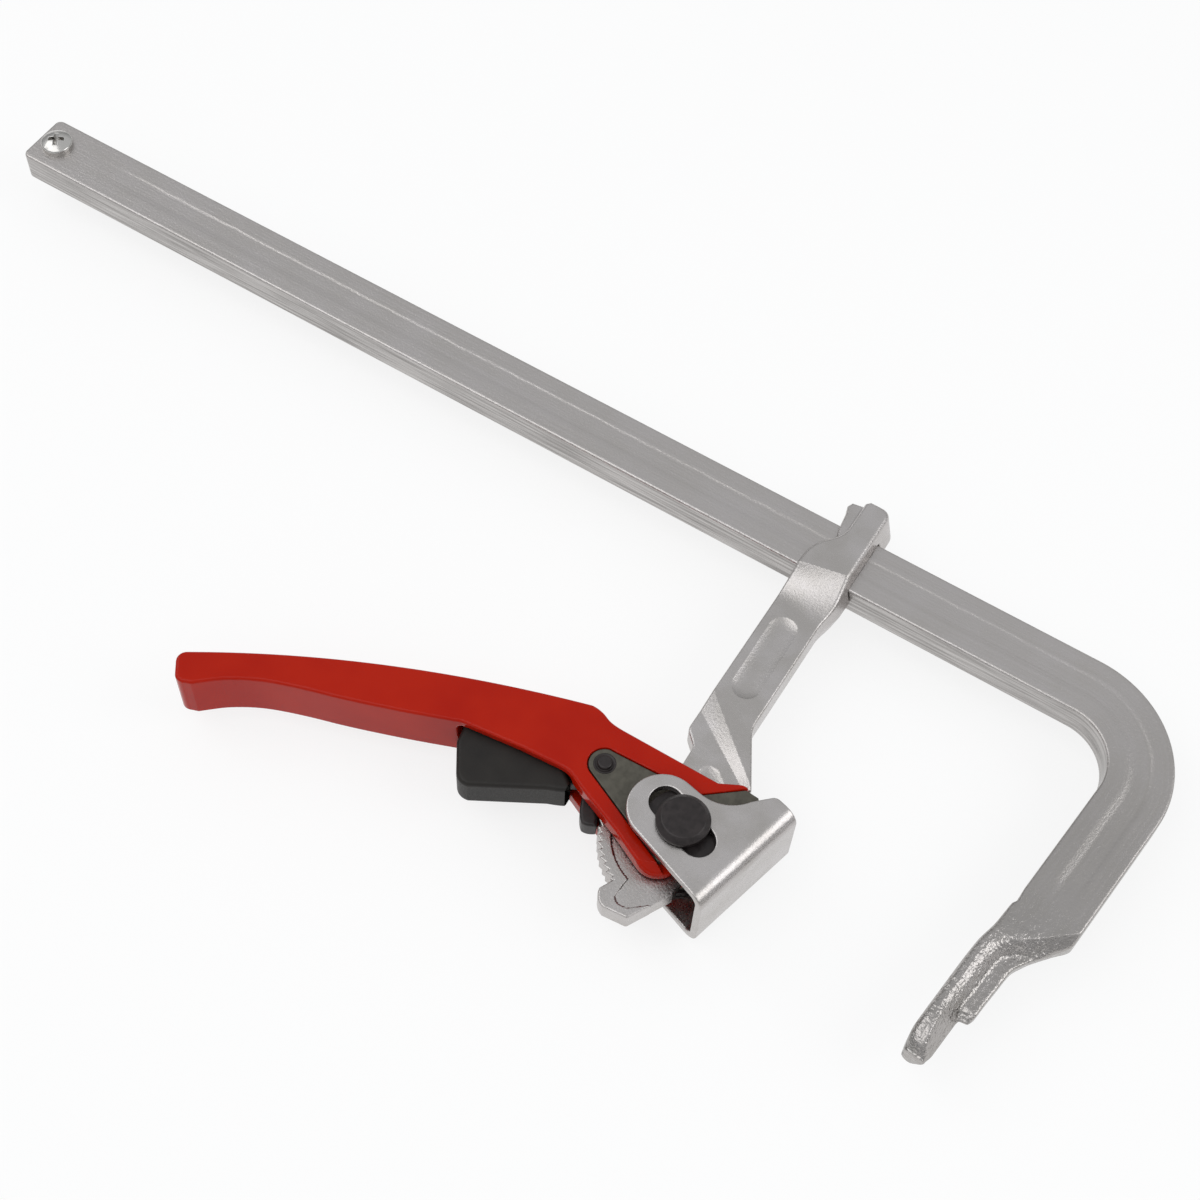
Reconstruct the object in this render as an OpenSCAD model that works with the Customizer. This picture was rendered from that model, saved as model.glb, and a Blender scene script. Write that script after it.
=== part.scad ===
// Ratchet lever clamp: a bent steel rail that carries the fixed jaw, and a sliding arm
// whose lever works a cam, a pressure bracket and a ratchet.
// The origin is the middle of the fixed jaw's clamping face, on the clamp's mid plane.
// X runs along the rail towards its bend, Y from the jaws to the rail, Z square to both.

/* [Rail] */
// Width of the rail's flat side
rail_w = 22.8; // [18:0.2:28]
// Thickness of the rail
rail_t = 12; // [10:0.5:14]
// Rounding of the rail's long edges
rail_edge_r = 1.8; // [0.8:0.1:3]
// Straight length of the rail, from its free end to the bend
rail_run = 459; // [380:1:900]
// Rounding of the rail's end corners, seen from above
rail_end_r = 3; // [1:0.5:6]
// Width of the shallow groove along each flat side
groove_w = 7.5; // [4:0.5:10]
// Depth of the shallow groove
groove_d = 0.5; // [0.2:0.1:1]
// Inner radius of the bend
bend_r = 19.5; // [15:0.5:30]
// Lean of the fixed arm towards the sliding jaw, in degrees
arm_lean = 6.4; // [3:0.1:9]

/* [Fixed jaw] */
// Distance along the fixed arm, from the bend to the middle of the jaw's face
jaw_reach = 96; // [86:1:120]
// How far the jaw's face stands proud of the fixed arm
jaw_proud = 2.6; // [1:0.1:5]
// Length of the flat clamping face
jaw_face = 22; // [16:1:30]
// Width of the clamping face, across the clamp's flat side
jaw_w = 16; // [13:0.5:22]
// Thickness of the jaw's finger
jaw_t = 9.6; // [8:0.1:14]
// Distance from the middle of the face to the finger's tip
jaw_tip = 18; // [17:0.5:30]
// Width of the finger's tip
jaw_tip_w = 9; // [6:0.5:12]
// Length of the fixed arm's outer side, down to its shoulder
shoulder_at = 47; // [38:1:56]
// Length of the sloping shoulder, measured along the arm
shoulder_run = 14; // [10:1:18]
// Height of the stiffening rib on the finger's back
rib_h = 3; // [1:0.2:5]
// Thickness of the stiffening rib
rib_t = 5.5; // [3:0.5:8]

/* [Stop screw] */
// Diameter of the stop screw's thread
screw_d = 6; // [4:0.5:8]
// Diameter of the stop screw's pan head
screw_head_d = 12.6; // [9:0.2:14]
// Height of the pan head
screw_head_h = 4; // [3:0.1:6]
// Distance from the rail's free end to the screw
screw_at = 8.6; // [8:0.2:14]
// Width of the cross recess in the screw's head
recess_w = 1.5; // [1:0.1:2]

/* [Sliding arm] */
// Place of the lever's pivot along the rail, from the fixed jaw's face
pivot_x = -94.6; // [-300:1:-85]
// Place of the lever's pivot across the clamp, from the fixed jaw's middle
pivot_y = 4.5; // [0:0.5:10]
// Width of the sliding arm
arm_w = 18.2; // [14:0.2:22]
// Offset of the arm's middle line from the pivot
arm_off = -9.3; // [-12:0.1:-7]
// Thickness of the sliding arm
arm_t = 10.8; // [9.6:0.2:14]
// Width of the eye along the rail
eye_w = 16.8; // [14:0.2:22]
// Thickness of the eye's straps over the rail
strap_t = 5.6; // [4:0.1:9]
// Width of the straps at their far end
strap_end_w = 7.7; // [6:0.1:12]
// Thickness of the eye's far wall
far_wall = 11; // [7:0.5:14]
// Height of the eye's low lug
lug_h = 13; // [10:0.5:18]
// Length of the slope from the eye down to the arm
eye_slope = 12; // [8:0.5:18]
// Thickness of the tang that goes between the lever's cheeks
tang_t = 8; // [6:0.2:10]
// Width of the oval hollow in the arm
oval_w = 8.4; // [5:0.2:11]
// Depth of the oval hollow
oval_d = 1.1; // [0.4:0.1:2]

/* [Ratchet] */
// Radius of the tips of the ratchet's teeth
tooth_r = 27.3; // [26:0.1:28]
// Depth of the teeth
tooth_depth = 1.4; // [0.8:0.1:2]
// Angle between two teeth, in degrees
tooth_step = 5.8; // [4:0.2:6]
// Number of teeth
tooth_n = 13; // [10:1:14]
// Thickness of the toothed rim and the foot
rim_t = 7.2; // [5:0.2:8]
// Radius of the raised boss inside the teeth
boss_r = 22.5; // [18:0.5:24]

/* [Pivot pin] */
// Diameter of the pivot pin
pin_d = 9; // [7:0.5:10]
// Diameter of the pin's heads
pin_head_d = 18; // [14:0.5:22]
// Height of the pin's heads
pin_head_h = 3.4; // [2.8:0.1:6]
// Chamfer round the pin's heads
pin_chamfer = 1.8; // [0.5:0.1:2]

/* [Lever] */
// Thickness of the lever
lever_t = 21; // [19:0.5:24]
// Wall of the lever above the trigger's pocket
lever_wall = 5; // [3:0.5:7]
// Width of the trigger's pocket
pocket_w = 14.2; // [11:0.2:15]

/* [Cam] */
// Thickness of the cam plates
cam_t = 2.8; // [2:0.1:3]
// Travel of the pressure plate for one radian of the lever
cam_rate = 8; // [6:0.2:10]
// Room left between the cam and the pressure plate, so that the bracket can tilt
cam_room = 2; // [1.9:0.1:3]
// Radius of the cam plate's end round the pawl pin
cam_end_r = 5.4; // [4.6:0.1:6]

/* [Pawl and trigger] */
// Diameter of the pawl pin
pawl_pin_d = 4.5; // [3.5:0.1:5]
// Diameter of the pawl pin's riveted heads
pawl_head_d = 6.4; // [5.5:0.1:8]
// Height of the pawl pin's heads
pawl_head_h = 1.4; // [0.8:0.1:2]
// Radius of the pawl's hub
pawl_hub_r = 5.6; // [4.5:0.1:5.9]
// Thickness of the pawl's nose
pawl_t = 7.8; // [4:0.2:8]
// Thickness of the pawl's tail inside the trigger
tail_t = 4; // [3:0.2:5]
// Thickness of the trigger
trigger_t = 13.2; // [10:0.2:14]
// Diameter of the pin that holds the trigger on the pawl's tail
trigger_pin_d = 3; // [2:0.1:4]
// Outer diameter of the trigger's spring
spring_d = 6; // [5:0.2:7]
// Diameter of the spring's wire
wire_d = 0.9; // [0.6:0.1:1.1]
// Number of turns of the spring
spring_turns = 5; // [3:0.5:6]

/* [Pressure bracket] */
// Width of the bracket over its flanges
bracket_w = 32.6; // [31:0.2:40]
// Thickness of the bracket's sheet
sheet_t = 3; // [2:0.2:3.2]
// Outer radius of the bracket's bends
bracket_bend_r = 5.6; // [3.4:0.1:7]
// Distance from the pivot to the plate's outer face at rest
plate_at = 24.2; // [23:0.1:26]
// Reach of the plate beyond the slot, towards the rail
plate_up = 28.6; // [28:0.1:36]
// Distance from the slot to the bracket's straight lower edge
plate_down = 12.6; // [12:0.1:14]
// Radius of the flange's round end
flange_r = 12.1; // [11:0.1:12.5]
// Distance from the pivot to the slot's back end
slot_back = 8.8; // [6:0.1:10]
// Distance from the pivot to the slot's front end
slot_front = 8; // [5:0.1:9]
// Outer diameter of the sleeves in the slots
sleeve_d = 11; // [10.4:0.1:12]
// Tilt of the bracket at rest, in degrees
bracket_tilt = -21.5; // [-23:0.5:-20]
// Skew of the plate from square to the slot, in degrees
plate_skew = 7.3; // [6:0.1:9]
// Radius of the hollow edge between flange and plate
hollow_r = 15; // [12:0.1:16]
// Width of the flange at the plate's upper end
flange_end_w = 11; // [8:0.1:13]
// Diameter of the spacer washers
washer_d = 20; // [14:0.5:22]

/* [Fits] */
// Gap all round the rail inside the eye
rail_gap = 0.4; // [0.3:0.05:0.8]
// Radial clearance of a turning fit
run_gap = 0.05; // [0.02:0.01:0.1]
// Radial clearance of a fixed fit
fix_gap = 0.02; // [0.01:0.01:0.04]
// Side gap between pieces that slide past each other
side_gap = 0.4; // [0.3:0.05:0.5]
// Gap between stacked pieces on the pin
stack_gap = 0.15; // [0.05:0.05:0.3]

/* [Hidden] */
$fn = 64;
eps = 0.01;
far = 200;
steel = [0.63, 0.62, 0.60];
bright_zinc = [0.75, 0.75, 0.74];
lever_red = [0.66, 0.16, 0.12];
dark_steel = [0.33, 0.31, 0.28];
black_oxide = [0.18, 0.16, 0.16];
black_plastic = [0.20, 0.18, 0.18];

// Rail and fixed arm
face_x = bend_r - jaw_proud;
finger_x = face_x + jaw_t;
arm_out_x = bend_r + rail_w;
bend_x = jaw_reach * sin(arm_lean) - face_x * cos(arm_lean);
bend_y = jaw_reach * cos(arm_lean) + face_x * sin(arm_lean);
rail_in_y = bend_y + bend_r;
rail_end_x = bend_x - rail_run;
screw_x = rail_end_x + screw_at;
screw_y = rail_in_y + rail_w / 2;

// Levels of the stack on the pivot pin, measured from the mid plane
slot_half = tang_t / 2 + side_gap;
cheek_out = lever_t / 2;
cam_floor = cheek_out - cam_t - 0.1;
flange_out = bracket_w / 2;
flange_in = flange_out - sheet_t;
head_in = flange_out + 2 * stack_gap;
head_out = head_in + pin_head_h;

// Sliding arm, measured from the pivot
arm_left = arm_off - arm_w / 2;
arm_right = arm_off + arm_w / 2;
eye_right = arm_off + eye_w / 2 - 0.4;
eye_left = eye_right - eye_w;
eye_half = rail_t / 2 + rail_gap + strap_t;
rail_y0 = rail_in_y - pivot_y;
rail_y1 = rail_y0 + rail_w;
eye_far = rail_y1 + rail_gap + far_wall;
eye_near = rail_y0 - rail_gap - 2;
arm_top = eye_near - eye_slope;
tang_right = 8;
rim_clear = tooth_r + 0.9;
first_tooth = 174;

// Lever, measured from the pivot with the lever at rest
tip_gap = 0.45;
pawl_at = polar(tooth_r + tip_gap + pawl_hub_r + 0.74, 168.5);
lever_end = [-169.3, -38];
lever_end_r = 6.2;
lever_back = [-118, 2.5];
knee = [-46, 23.8];
band_y = 20.8;
beak = [10.9, 24.7];
web_r = 12.5;
band_end = [-1, -13.7];
band_end_r = 6;
pocket_left = pawl_at[0] - 49.6;
pocket_right = pawl_at[0] - 6.8;
spine_right = -27.5;
pawl_roof = 14.5;
cam_top = [pawl_at + [-0.5, 5.2], [-1.5, 13.6], [10.6, 23.6]];
cam_low = [-1, -13.6];
plate_in = plate_at - sheet_t;
cam_turn = 55;
spring_at = pawl_at[0] - 28.6;
spring_low = 0.6;
spring_high = 13;
spring_seat_d = spring_d + 1;
tail_at = pawl_at + [-28.6, -14.3];
trigger_pin_top = trigger_t / 2 - 1.2;
horn_r = 2.8;

// Point at a given radius and angle
function polar(r, a) = [r * cos(a), r * sin(a)];

// Point turned about the origin
function turn(p, a) = [p[0] * cos(a) - p[1] * sin(a), p[0] * sin(a) + p[1] * cos(a)];

// Points along an arc about a centre
function arc(c, r, a0, a1, n = 8) =
    [for (i = [0:n]) c + polar(r, a0 + (a1 - a0) * i / n)];

// Points along a quadratic curve between two ends, drawn towards a third point
function curve(p0, p1, p2, n = 10) =
    [for (i = [0:n]) let (t = i / n) (1 - t) * (1 - t) * p0 + 2 * t * (1 - t) * p1 + t * t * p2];

// Cam point whose tangent faces angle a: an involute, so that lift is even with turn
function cam_point(a) =
    let (h = plate_in - cam_room + cam_rate * (a - bracket_tilt - plate_skew) * PI / 180)
    polar(h, a) + polar(cam_rate, a + 90);

module at_pivot() translate([pivot_x, pivot_y, 0]) children();

module at_fixed_arm() translate([bend_x, bend_y, 0]) rotate([0, 0, -arm_lean]) children();

module at_bracket() at_pivot() rotate([0, 0, bracket_tilt]) children();

module both_sides() {
    children();
    mirror([0, 0, 1]) children();
}

// Extrudes a plan outline evenly about the mid plane
module slab(t) linear_extrude(t, center = true) children();

// Extrudes a plan outline between two levels
module layer(z0, z1) translate([0, 0, z0]) linear_extrude(z1 - z0) children();

module tube(r_out, r_in, z0, z1) {
    translate([0, 0, z0])
        difference() {
            cylinder(r = r_out, h = z1 - z0);
            translate([0, 0, -eps]) cylinder(r = r_in, h = z1 - z0 + 2 * eps);
        }
}

module bore(d, gap, at = [0, 0]) {
    translate([at[0], at[1], 0]) cylinder(d = d + 2 * gap, h = 4 * lever_t, center = true);
}

// Oval with round ends between two points
module oval(p, q, w) {
    run = q - p;
    translate(p) circle(d = w);
    translate(q) circle(d = w);
    translate(p) rotate(atan2(run[1], run[0])) translate([0, -w / 2]) square([norm(run), w]);
}

// Rail section: x across the rail from its inner edge, y through its thickness
module rail_section() {
    r = rail_edge_r;
    h = rail_t / 2;
    difference() {
        union() {
            translate([r, -h]) square([rail_w - 2 * r, rail_t]);
            translate([0, r - h]) square([rail_w, rail_t - 2 * r]);
            for (x = [r, rail_w - r], y = [r - h, h - r]) translate([x, y]) circle(r = r);
        }
        for (s = [-1, 1])
            translate([rail_w / 2, s * h]) square([groove_w, 2 * groove_d], center = true);
    }
}

module rail_run_solid() {
    difference() {
        translate([rail_end_x, rail_in_y, 0])
            rotate([90, 0, 90]) linear_extrude(rail_run) rail_section();
        for (s = [-1, 1])
            translate([rail_end_x, screw_y + s * rail_w / 2, 0])
                slab(2 * rail_t)
                    difference() {
                        square(2 * rail_end_r, center = true);
                        translate([rail_end_r, -s * rail_end_r]) circle(r = rail_end_r);
                    }
    }
}

module fixed_arm_solid() {
    end = shoulder_at + shoulder_run;
    difference() {
        rotate([90, 0, 0]) linear_extrude(end) translate([bend_r, 0]) rail_section();
        slab(2 * rail_t)
            polygon([
                [arm_out_x + eps, -shoulder_at], [finger_x, -end], [finger_x, -far], [far, -far],
                [far, -shoulder_at]
            ]);
    }
}

module jaw_finger() {
    face0 = jaw_reach - jaw_face / 2;
    face1 = jaw_reach + jaw_face / 2;
    tip = jaw_reach + jaw_tip;
    intersection() {
        slab(2 * jaw_w)
            polygon([
                [bend_r, -shoulder_at], [face_x, -face0], [face_x, -face1],
                [face_x + jaw_proud, -tip + 1], [finger_x - 2, -tip], [finger_x, -face1],
                [finger_x, -shoulder_at]
            ]);
        rotate([0, 90, 0])
            linear_extrude(finger_x + 1)
                for (s = [-1, 1])
                    scale([s, 1])
                        polygon([
                            [0, -shoulder_at], [rail_t / 2 - groove_d, -shoulder_at],
                            [jaw_w / 2, -face0 + 6], [jaw_w / 2, -face1 + 6],
                            [jaw_tip_w / 2, -tip], [0, -tip]
                        ]);
    }
}

module jaw_rib() {
    rib_x = finger_x + rib_h;
    rib_y = -shoulder_at - 1.6 * shoulder_run;
    rib_end = -jaw_reach + 4;
    slab(rib_t)
        polygon(concat(
            curve([arm_out_x - eps, -shoulder_at], [rib_x + 2, rib_y + 3], [rib_x, rib_y - 4]),
            arc([rib_x - rib_h, rib_end], rib_h, 0, -90, 5),
            [[finger_x - 1, rib_end - rib_h], [finger_x - 1, -shoulder_at]]
        ));
}

module rail() {
    color(steel)
        difference() {
            union() {
                rail_run_solid();
                translate([bend_x, screw_y, 0])
                    cube([rail_t / 2, rail_w / 2, rail_t / 2], center = true);
                at_fixed_arm() {
                    rotate_extrude(angle = 90 + arm_lean) translate([bend_r, 0]) rail_section();
                    fixed_arm_solid();
                    jaw_finger();
                    jaw_rib();
                }
            }
            bore(screw_d, fix_gap, [screw_x, screw_y]);
        }
}

module stop_screw() {
    crown = 0.35 * screw_head_h;
    head_z = rail_t / 2 - groove_d;
    color(bright_zinc)
        translate([screw_x, screw_y, 0])
            difference() {
                union() {
                    translate([0, 0, groove_d - rail_t / 2])
                        cylinder(d = screw_d, h = 2 * head_z + eps);
                    translate([0, 0, rail_t / 2])
                        rotate_extrude()
                            polygon(concat(
                                [[0, 0]],
                                [[screw_head_d / 2, 0], [screw_head_d / 2, screw_head_h - 2 * crown]],
                                [for (i = [1:6])
                                    let (a = 15 * i)
                                    [screw_head_d / 2 * cos(a * 0.62),
                                     screw_head_h - 2 * crown + 2 * crown * sin(a)]],
                                [[0, screw_head_h]]
                            ));
                    translate([0, 0, head_z]) cylinder(d = groove_w - side_gap, h = groove_d + eps);
                }
                translate([0, 0, rail_t / 2 + screw_head_h])
                    for (a = [45, 135])
                        rotate([0, 0, a])
                            cube([0.62 * screw_head_d, recess_w, screw_head_h], center = true);
            }
}

// Plan of the eye's straps: narrow at the far lug, full width at the arm
module strap_plan() {
    polygon([
        [eye_right, eye_far], [eye_right - strap_end_w, eye_far],
        [eye_right - strap_end_w, rail_y1 - 5], [eye_left + 4, rail_y0 + 6],
        [eye_left, rail_y0], [eye_left, eye_near], [eye_right, eye_near]
    ]);
}

module eye_solid() {
    difference() {
        union() {
            slab(2 * eye_half) strap_plan();
            slab(lug_h)
                translate([eye_left + 1.6, rail_y1 - 1]) square([eye_w - 1.6, eye_far - rail_y1]);
            translate([eye_left, 0, 0])
                rotate([90, 0, 90])
                    linear_extrude(eye_w)
                        polygon([
                            [eye_near + eps, eye_half], [arm_top, arm_t / 2],
                            [arm_top, -arm_t / 2], [eye_near + eps, -eye_half]
                        ]);
        }
        translate([arm_off, rail_y0 + rail_w / 2, 0])
            cube([far, rail_w + 2 * rail_gap, rail_t + 2 * rail_gap], center = true);
    }
}

// Arm from the eye down to the sloping step above the tang
module shank_plan() {
    polygon([
        [arm_left, arm_top + eps], [arm_right, arm_top + eps], [arm_right, 47.4], [11.3, 27],
        [5.6, 27], [arm_left, 46.3]
    ]);
}

// Neck between the arm and the ratchet's disc
module neck_plan() {
    polygon([
        [arm_left, 48], [arm_left, 36], [-13.4, 31.2], [-13.2, 23.5], [-tang_right, 0],
        [tang_right, 0], [9, 20], [11.3, 27], [arm_right, 47.4]
    ]);
}

// Sector with saw teeth that let the pawl pass one way only
module ratchet_plan() {
    last = first_tooth + tooth_n * tooth_step;
    root = tooth_r - tooth_depth;
    polygon(concat(
        [[0, 0]],
        arc([0, 0], tooth_r, 119, first_tooth),
        [for (i = [0:tooth_n - 1], k = [0, 1])
            polar(k == 0 ? root : tooth_r, first_tooth + tooth_step * i + k * 0.6)],
        [polar(root, last), [-6, -23]]
    ));
}

module foot_plan() {
    polygon([
        [-6, -20], polar(tooth_r - 1, 246), [-13.2, -29.2], [-11.4, -32.6], [-8.8, -34], [-0.2, -33.1],
        [tang_right - 0.5, -18], [tang_right - 0.5, 0], [0, 0]
    ]);
}

module boss_plan() {
    intersection() {
        union() {
            circle(r = boss_r);
            polygon([[-7.2, -20], [-7.2, -28.4], [-5.8, -30.4], [-1.8, -30.2], [tang_right, -16]]);
        }
        translate([-far, -far]) square([far + tang_right - 0.5, 2 * far]);
    }
}

module sliding_arm() {
    color(steel)
        at_pivot()
            difference() {
                union() {
                    eye_solid();
                    difference() {
                        slab(arm_t) shank_plan();
                        both_sides() layer(tang_t / 2, arm_t) circle(r = rim_clear);
                        both_sides()
                            layer(arm_t / 2 - oval_d, arm_t)
                                oval([arm_off, arm_top - 8], [arm_off, 59], oval_w);
                    }
                    difference() {
                        slab(tang_t) neck_plan();
                        both_sides()
                            layer(tang_t / 2 - 0.6, tang_t) oval([-3.5, 24.5], [4, 18.5], 6.4);
                    }
                    slab(tang_t) boss_plan();
                    slab(rim_t) {
                        ratchet_plan();
                        foot_plan();
                    }
                }
                bore(pin_d, fix_gap);
            }
}

// Round head with a chamfered rim, standing on its own underside
module pin_head() {
    r = pin_head_d / 2;
    rotate_extrude()
        polygon([
            [0, 0], [r, 0], [r, pin_head_h - pin_chamfer],
            [r - pin_chamfer, pin_head_h], [0, pin_head_h]
        ]);
}

module pivot_pin() {
    color(black_oxide)
        at_pivot() {
            translate([0, 0, head_in]) pin_head();
            translate([0, 0, -head_out + 2])
                cylinder(d = pin_d, h = head_in + head_out - 2 + eps);
        }
}

module pivot_pin_cap() {
    color(black_oxide)
        at_pivot()
            difference() {
                mirror([0, 0, 1]) translate([0, 0, head_in]) pin_head();
                translate([0, 0, -head_out + 2])
                    cylinder(d = pin_d + 2 * fix_gap, h = pin_head_h);
            }
}

module spacer_washer() {
    tube(washer_d / 2, pin_d / 2 + run_gap, cheek_out + stack_gap, flange_in - 2 * stack_gap);
}

module spacer_washer_upper() color(black_oxide) at_pivot() spacer_washer();

module spacer_washer_lower() color(black_oxide) at_pivot() mirror([0, 0, 1]) spacer_washer();

module slot_sleeve() {
    tube(sleeve_d / 2, pin_d / 2 + run_gap, flange_in - stack_gap, flange_out + stack_gap);
}

module slot_sleeve_upper() color(black_oxide) at_pivot() slot_sleeve();

module slot_sleeve_lower() color(black_oxide) at_pivot() mirror([0, 0, 1]) slot_sleeve();

// Lever seen from above: grip, knee, upper band with its beak, web and lower band
module lever_plan() {
    top = lever_end + polar(lever_end_r, 126);
    low = lever_end + polar(lever_end_r, -52);
    polygon(concat(
        curve(top, lever_back, knee),
        [[-42.4, 21.8], [-38.5, band_y], [1.5, band_y + 0.3], [9.3, beak[1] + 0.3], beak],
        [[10.2, 23.4]],
        arc([0, 0], web_r, 90, -60, 12),
        arc(band_end, band_end_r, 15, -118),
        [[-18.3, -11.6], [-34.3, -5.3], [-42.5, -1.6], [-60, -3], [-81.4, -5.8]],
        curve([-120, -20.8], [-151, -27.6], low),
        arc(lever_end, lever_end_r, -60, -226)
    ));
}

// Recess that holds a cam plate, with a gap all round it
module cam_recess_plan(gap) {
    lift = [0, gap];
    polygon(concat(
        [for (p = cam_top) p + lift],
        [[40, 40], [40, -30], cam_low + [6, -2.4] - lift, cam_low - lift],
        [pawl_at + polar(cam_end_r + gap, 250)],
        arc(pawl_at, cam_end_r + gap, 240, 100)
    ));
}

module cam_plan() {
    polygon(concat(
        [cam_top[0], cam_top[1], cam_top[2]],
        [for (a = [40:-6:-cam_turn]) cam_point(a)],
        [cam_low, pawl_at + polar(cam_end_r, 250)],
        arc(pawl_at, cam_end_r, 240, 100)
    ));
}

module pocket_plan() {
    roof0 = 12.4 - lever_wall;
    roof1 = band_y - lever_wall;
    polygon([
        [pocket_left, -far], [pocket_left, roof0], [pocket_right, roof1], [pocket_right, -far]
    ]);
}

// Slot between the cheeks, for the tang and the pawl
module cheek_slot_plan() {
    polygon([
        [spine_right, far], [far, far], [far, -far], [pocket_right - eps, -far],
        [pocket_right - eps, pawl_roof], [spine_right, pawl_roof]
    ]);
}

module handle() {
    color(lever_red)
        at_pivot()
            difference() {
                slab(lever_t) lever_plan();
                slab(pocket_w) pocket_plan();
                slab(2 * slot_half) cheek_slot_plan();
                both_sides() layer(cam_floor, lever_t) cam_recess_plan(side_gap);
                bore(pin_d, run_gap);
                bore(pawl_pin_d, fix_gap, pawl_at);
                translate([spring_at, spring_low, 0])
                    rotate([-90, 0, 0]) cylinder(d = spring_seat_d, h = spring_high - spring_low);
            }
}

module cam_plate() {
    difference() {
        layer(cam_floor, cam_floor + cam_t) cam_plan();
        bore(pin_d, run_gap);
        bore(pawl_pin_d, fix_gap, pawl_at);
    }
}

module cam_plate_upper() color(dark_steel) at_pivot() cam_plate();

module cam_plate_lower() color(dark_steel) at_pivot() mirror([0, 0, 1]) cam_plate();

module pawl_pin() {
    seat = cam_floor + cam_t;
    color(black_oxide)
        at_pivot()
            translate([pawl_at[0], pawl_at[1], 0]) {
                cylinder(d = pawl_pin_d, h = 2 * (seat + eps), center = true);
                both_sides()
                    translate([0, 0, seat])
                        cylinder(d1 = pawl_head_d, d2 = 0.75 * pawl_head_d, h = pawl_head_h);
            }
}

// Nose that stands just clear of the tooth tips, so that the lever can swing past them
module pawl_plan() {
    tip_r = tooth_r + tip_gap;
    polygon(concat(
        [pawl_at + polar(pawl_hub_r, 190), polar(tip_r + 6.4, 188.4)],
        [polar(tip_r + 5.1, 199.5), polar(tip_r + 3.2, 207.7)],
        arc([0, 0], tip_r, 206.5, 198, 3),
        [polar(tip_r + 1.2, 193), pawl_at + polar(pawl_hub_r, -20)]
    ));
}

// Tail's edges with a gap all round, for the tail itself and for the trigger's slot
function tail_edge(gap) = [
    pawl_at + [-10.6, -4.3 + gap], pawl_at + [-32.6 - gap, -10.3 + gap],
    pawl_at + [-32.6 - gap, -18.3 - gap], pawl_at + [-10.6, -10.3 - gap]
];

module tail_plan() {
    polygon(concat(
        [pawl_at + [0, pawl_hub_r]], tail_edge(0), [pawl_at + [0, -pawl_hub_r]]
    ));
}

module pawl() {
    color(black_oxide)
        at_pivot()
            difference() {
                union() {
                    slab(tang_t) translate(pawl_at) circle(r = pawl_hub_r);
                    slab(pawl_t) pawl_plan();
                    slab(tail_t) tail_plan();
                }
                bore(pawl_pin_d, run_gap, pawl_at);
                bore(trigger_pin_d, fix_gap, tail_at);
            }
}

module trigger_plan() {
    translate(pawl_at)
        polygon([
            [-46.8, -11.3], [-45.6, -17.4], [-38.8, -27.8], [-36, -28.8], [-34, -28.2],
            [-10.2, -15], [-8.2, -12.6], [-8, -9.2], [-12.6, -6], [-22.6, -3.4],
            [-36.6, -5.2], [-46.8, -8.8]
        ]);
}

module trigger() {
    color(black_plastic)
        at_pivot()
            difference() {
                slab(trigger_t) trigger_plan();
                slab(tail_t + 2 * fix_gap)
                    polygon(concat(
                        [pawl_at + [-6.6, 1.2]], tail_edge(2 * run_gap), [pawl_at + [-6.6, -9.8]]
                    ));
                translate([tail_at[0], tail_at[1], -trigger_t])
                    cylinder(d = trigger_pin_d + 2 * fix_gap, h = trigger_t + trigger_pin_top + fix_gap);
                translate([spring_at, spring_low - fix_gap, 0])
                    rotate([-90, 0, 0]) cylinder(d = spring_seat_d, h = spring_high);
            }
}

module trigger_pin() {
    color(black_oxide)
        at_pivot()
            translate([tail_at[0], tail_at[1], 0.2 - trigger_t / 2])
                cylinder(d = trigger_pin_d, h = trigger_t / 2 + trigger_pin_top - 0.2);
}

// Coil spring: one round wire swept up a helix
spring_sides = 6;
spring_rings = round(8 * spring_turns);
spring_r = (spring_d - wire_d) / 2;
spring_rise = spring_high - spring_low - wire_d - 2 * stack_gap;
function coil_at(i) =
    let (a = 360 * spring_turns * i / spring_rings)
    [spring_r * cos(a), spring_rise * i / spring_rings, spring_r * sin(a)];
function coil_ring(i) =
    let (a = 360 * spring_turns * i / spring_rings)
    [for (k = [0:spring_sides - 1])
        let (b = 360 * k / spring_sides)
        coil_at(i) + wire_d / 2 * [cos(b) * cos(a), sin(b), cos(b) * sin(a)]];
coil_gap = min([for (i = [0:spring_rings], j = [0:spring_rings]) if (j - i >= 6)
    norm(coil_at(i) - coil_at(j)) - wire_d]);
echo(least_gap_between_spring_turns = coil_gap);

module trigger_spring() {
    n = spring_sides;
    m = spring_rings;
    points = [for (i = [0:m]) each coil_ring(i)];
    sides = [for (i = [0:m - 1], k = [0:n - 1], h = [0, 1])
        let (a = i * n + k, b = i * n + (k + 1) % n)
        h == 0 ? [a, b, b + n] : [a, b + n, a + n]];
    ends = concat(
        [for (k = [1:n - 2]) [0, k + 1, k]],
        [for (k = [1:n - 2]) [m * n, m * n + k, m * n + k + 1]]
    );
    color(bright_zinc)
        at_pivot()
            translate([spring_at, spring_low + wire_d / 2 + stack_gap, 0])
                polyhedron(points, concat(sides, ends));
}

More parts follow.
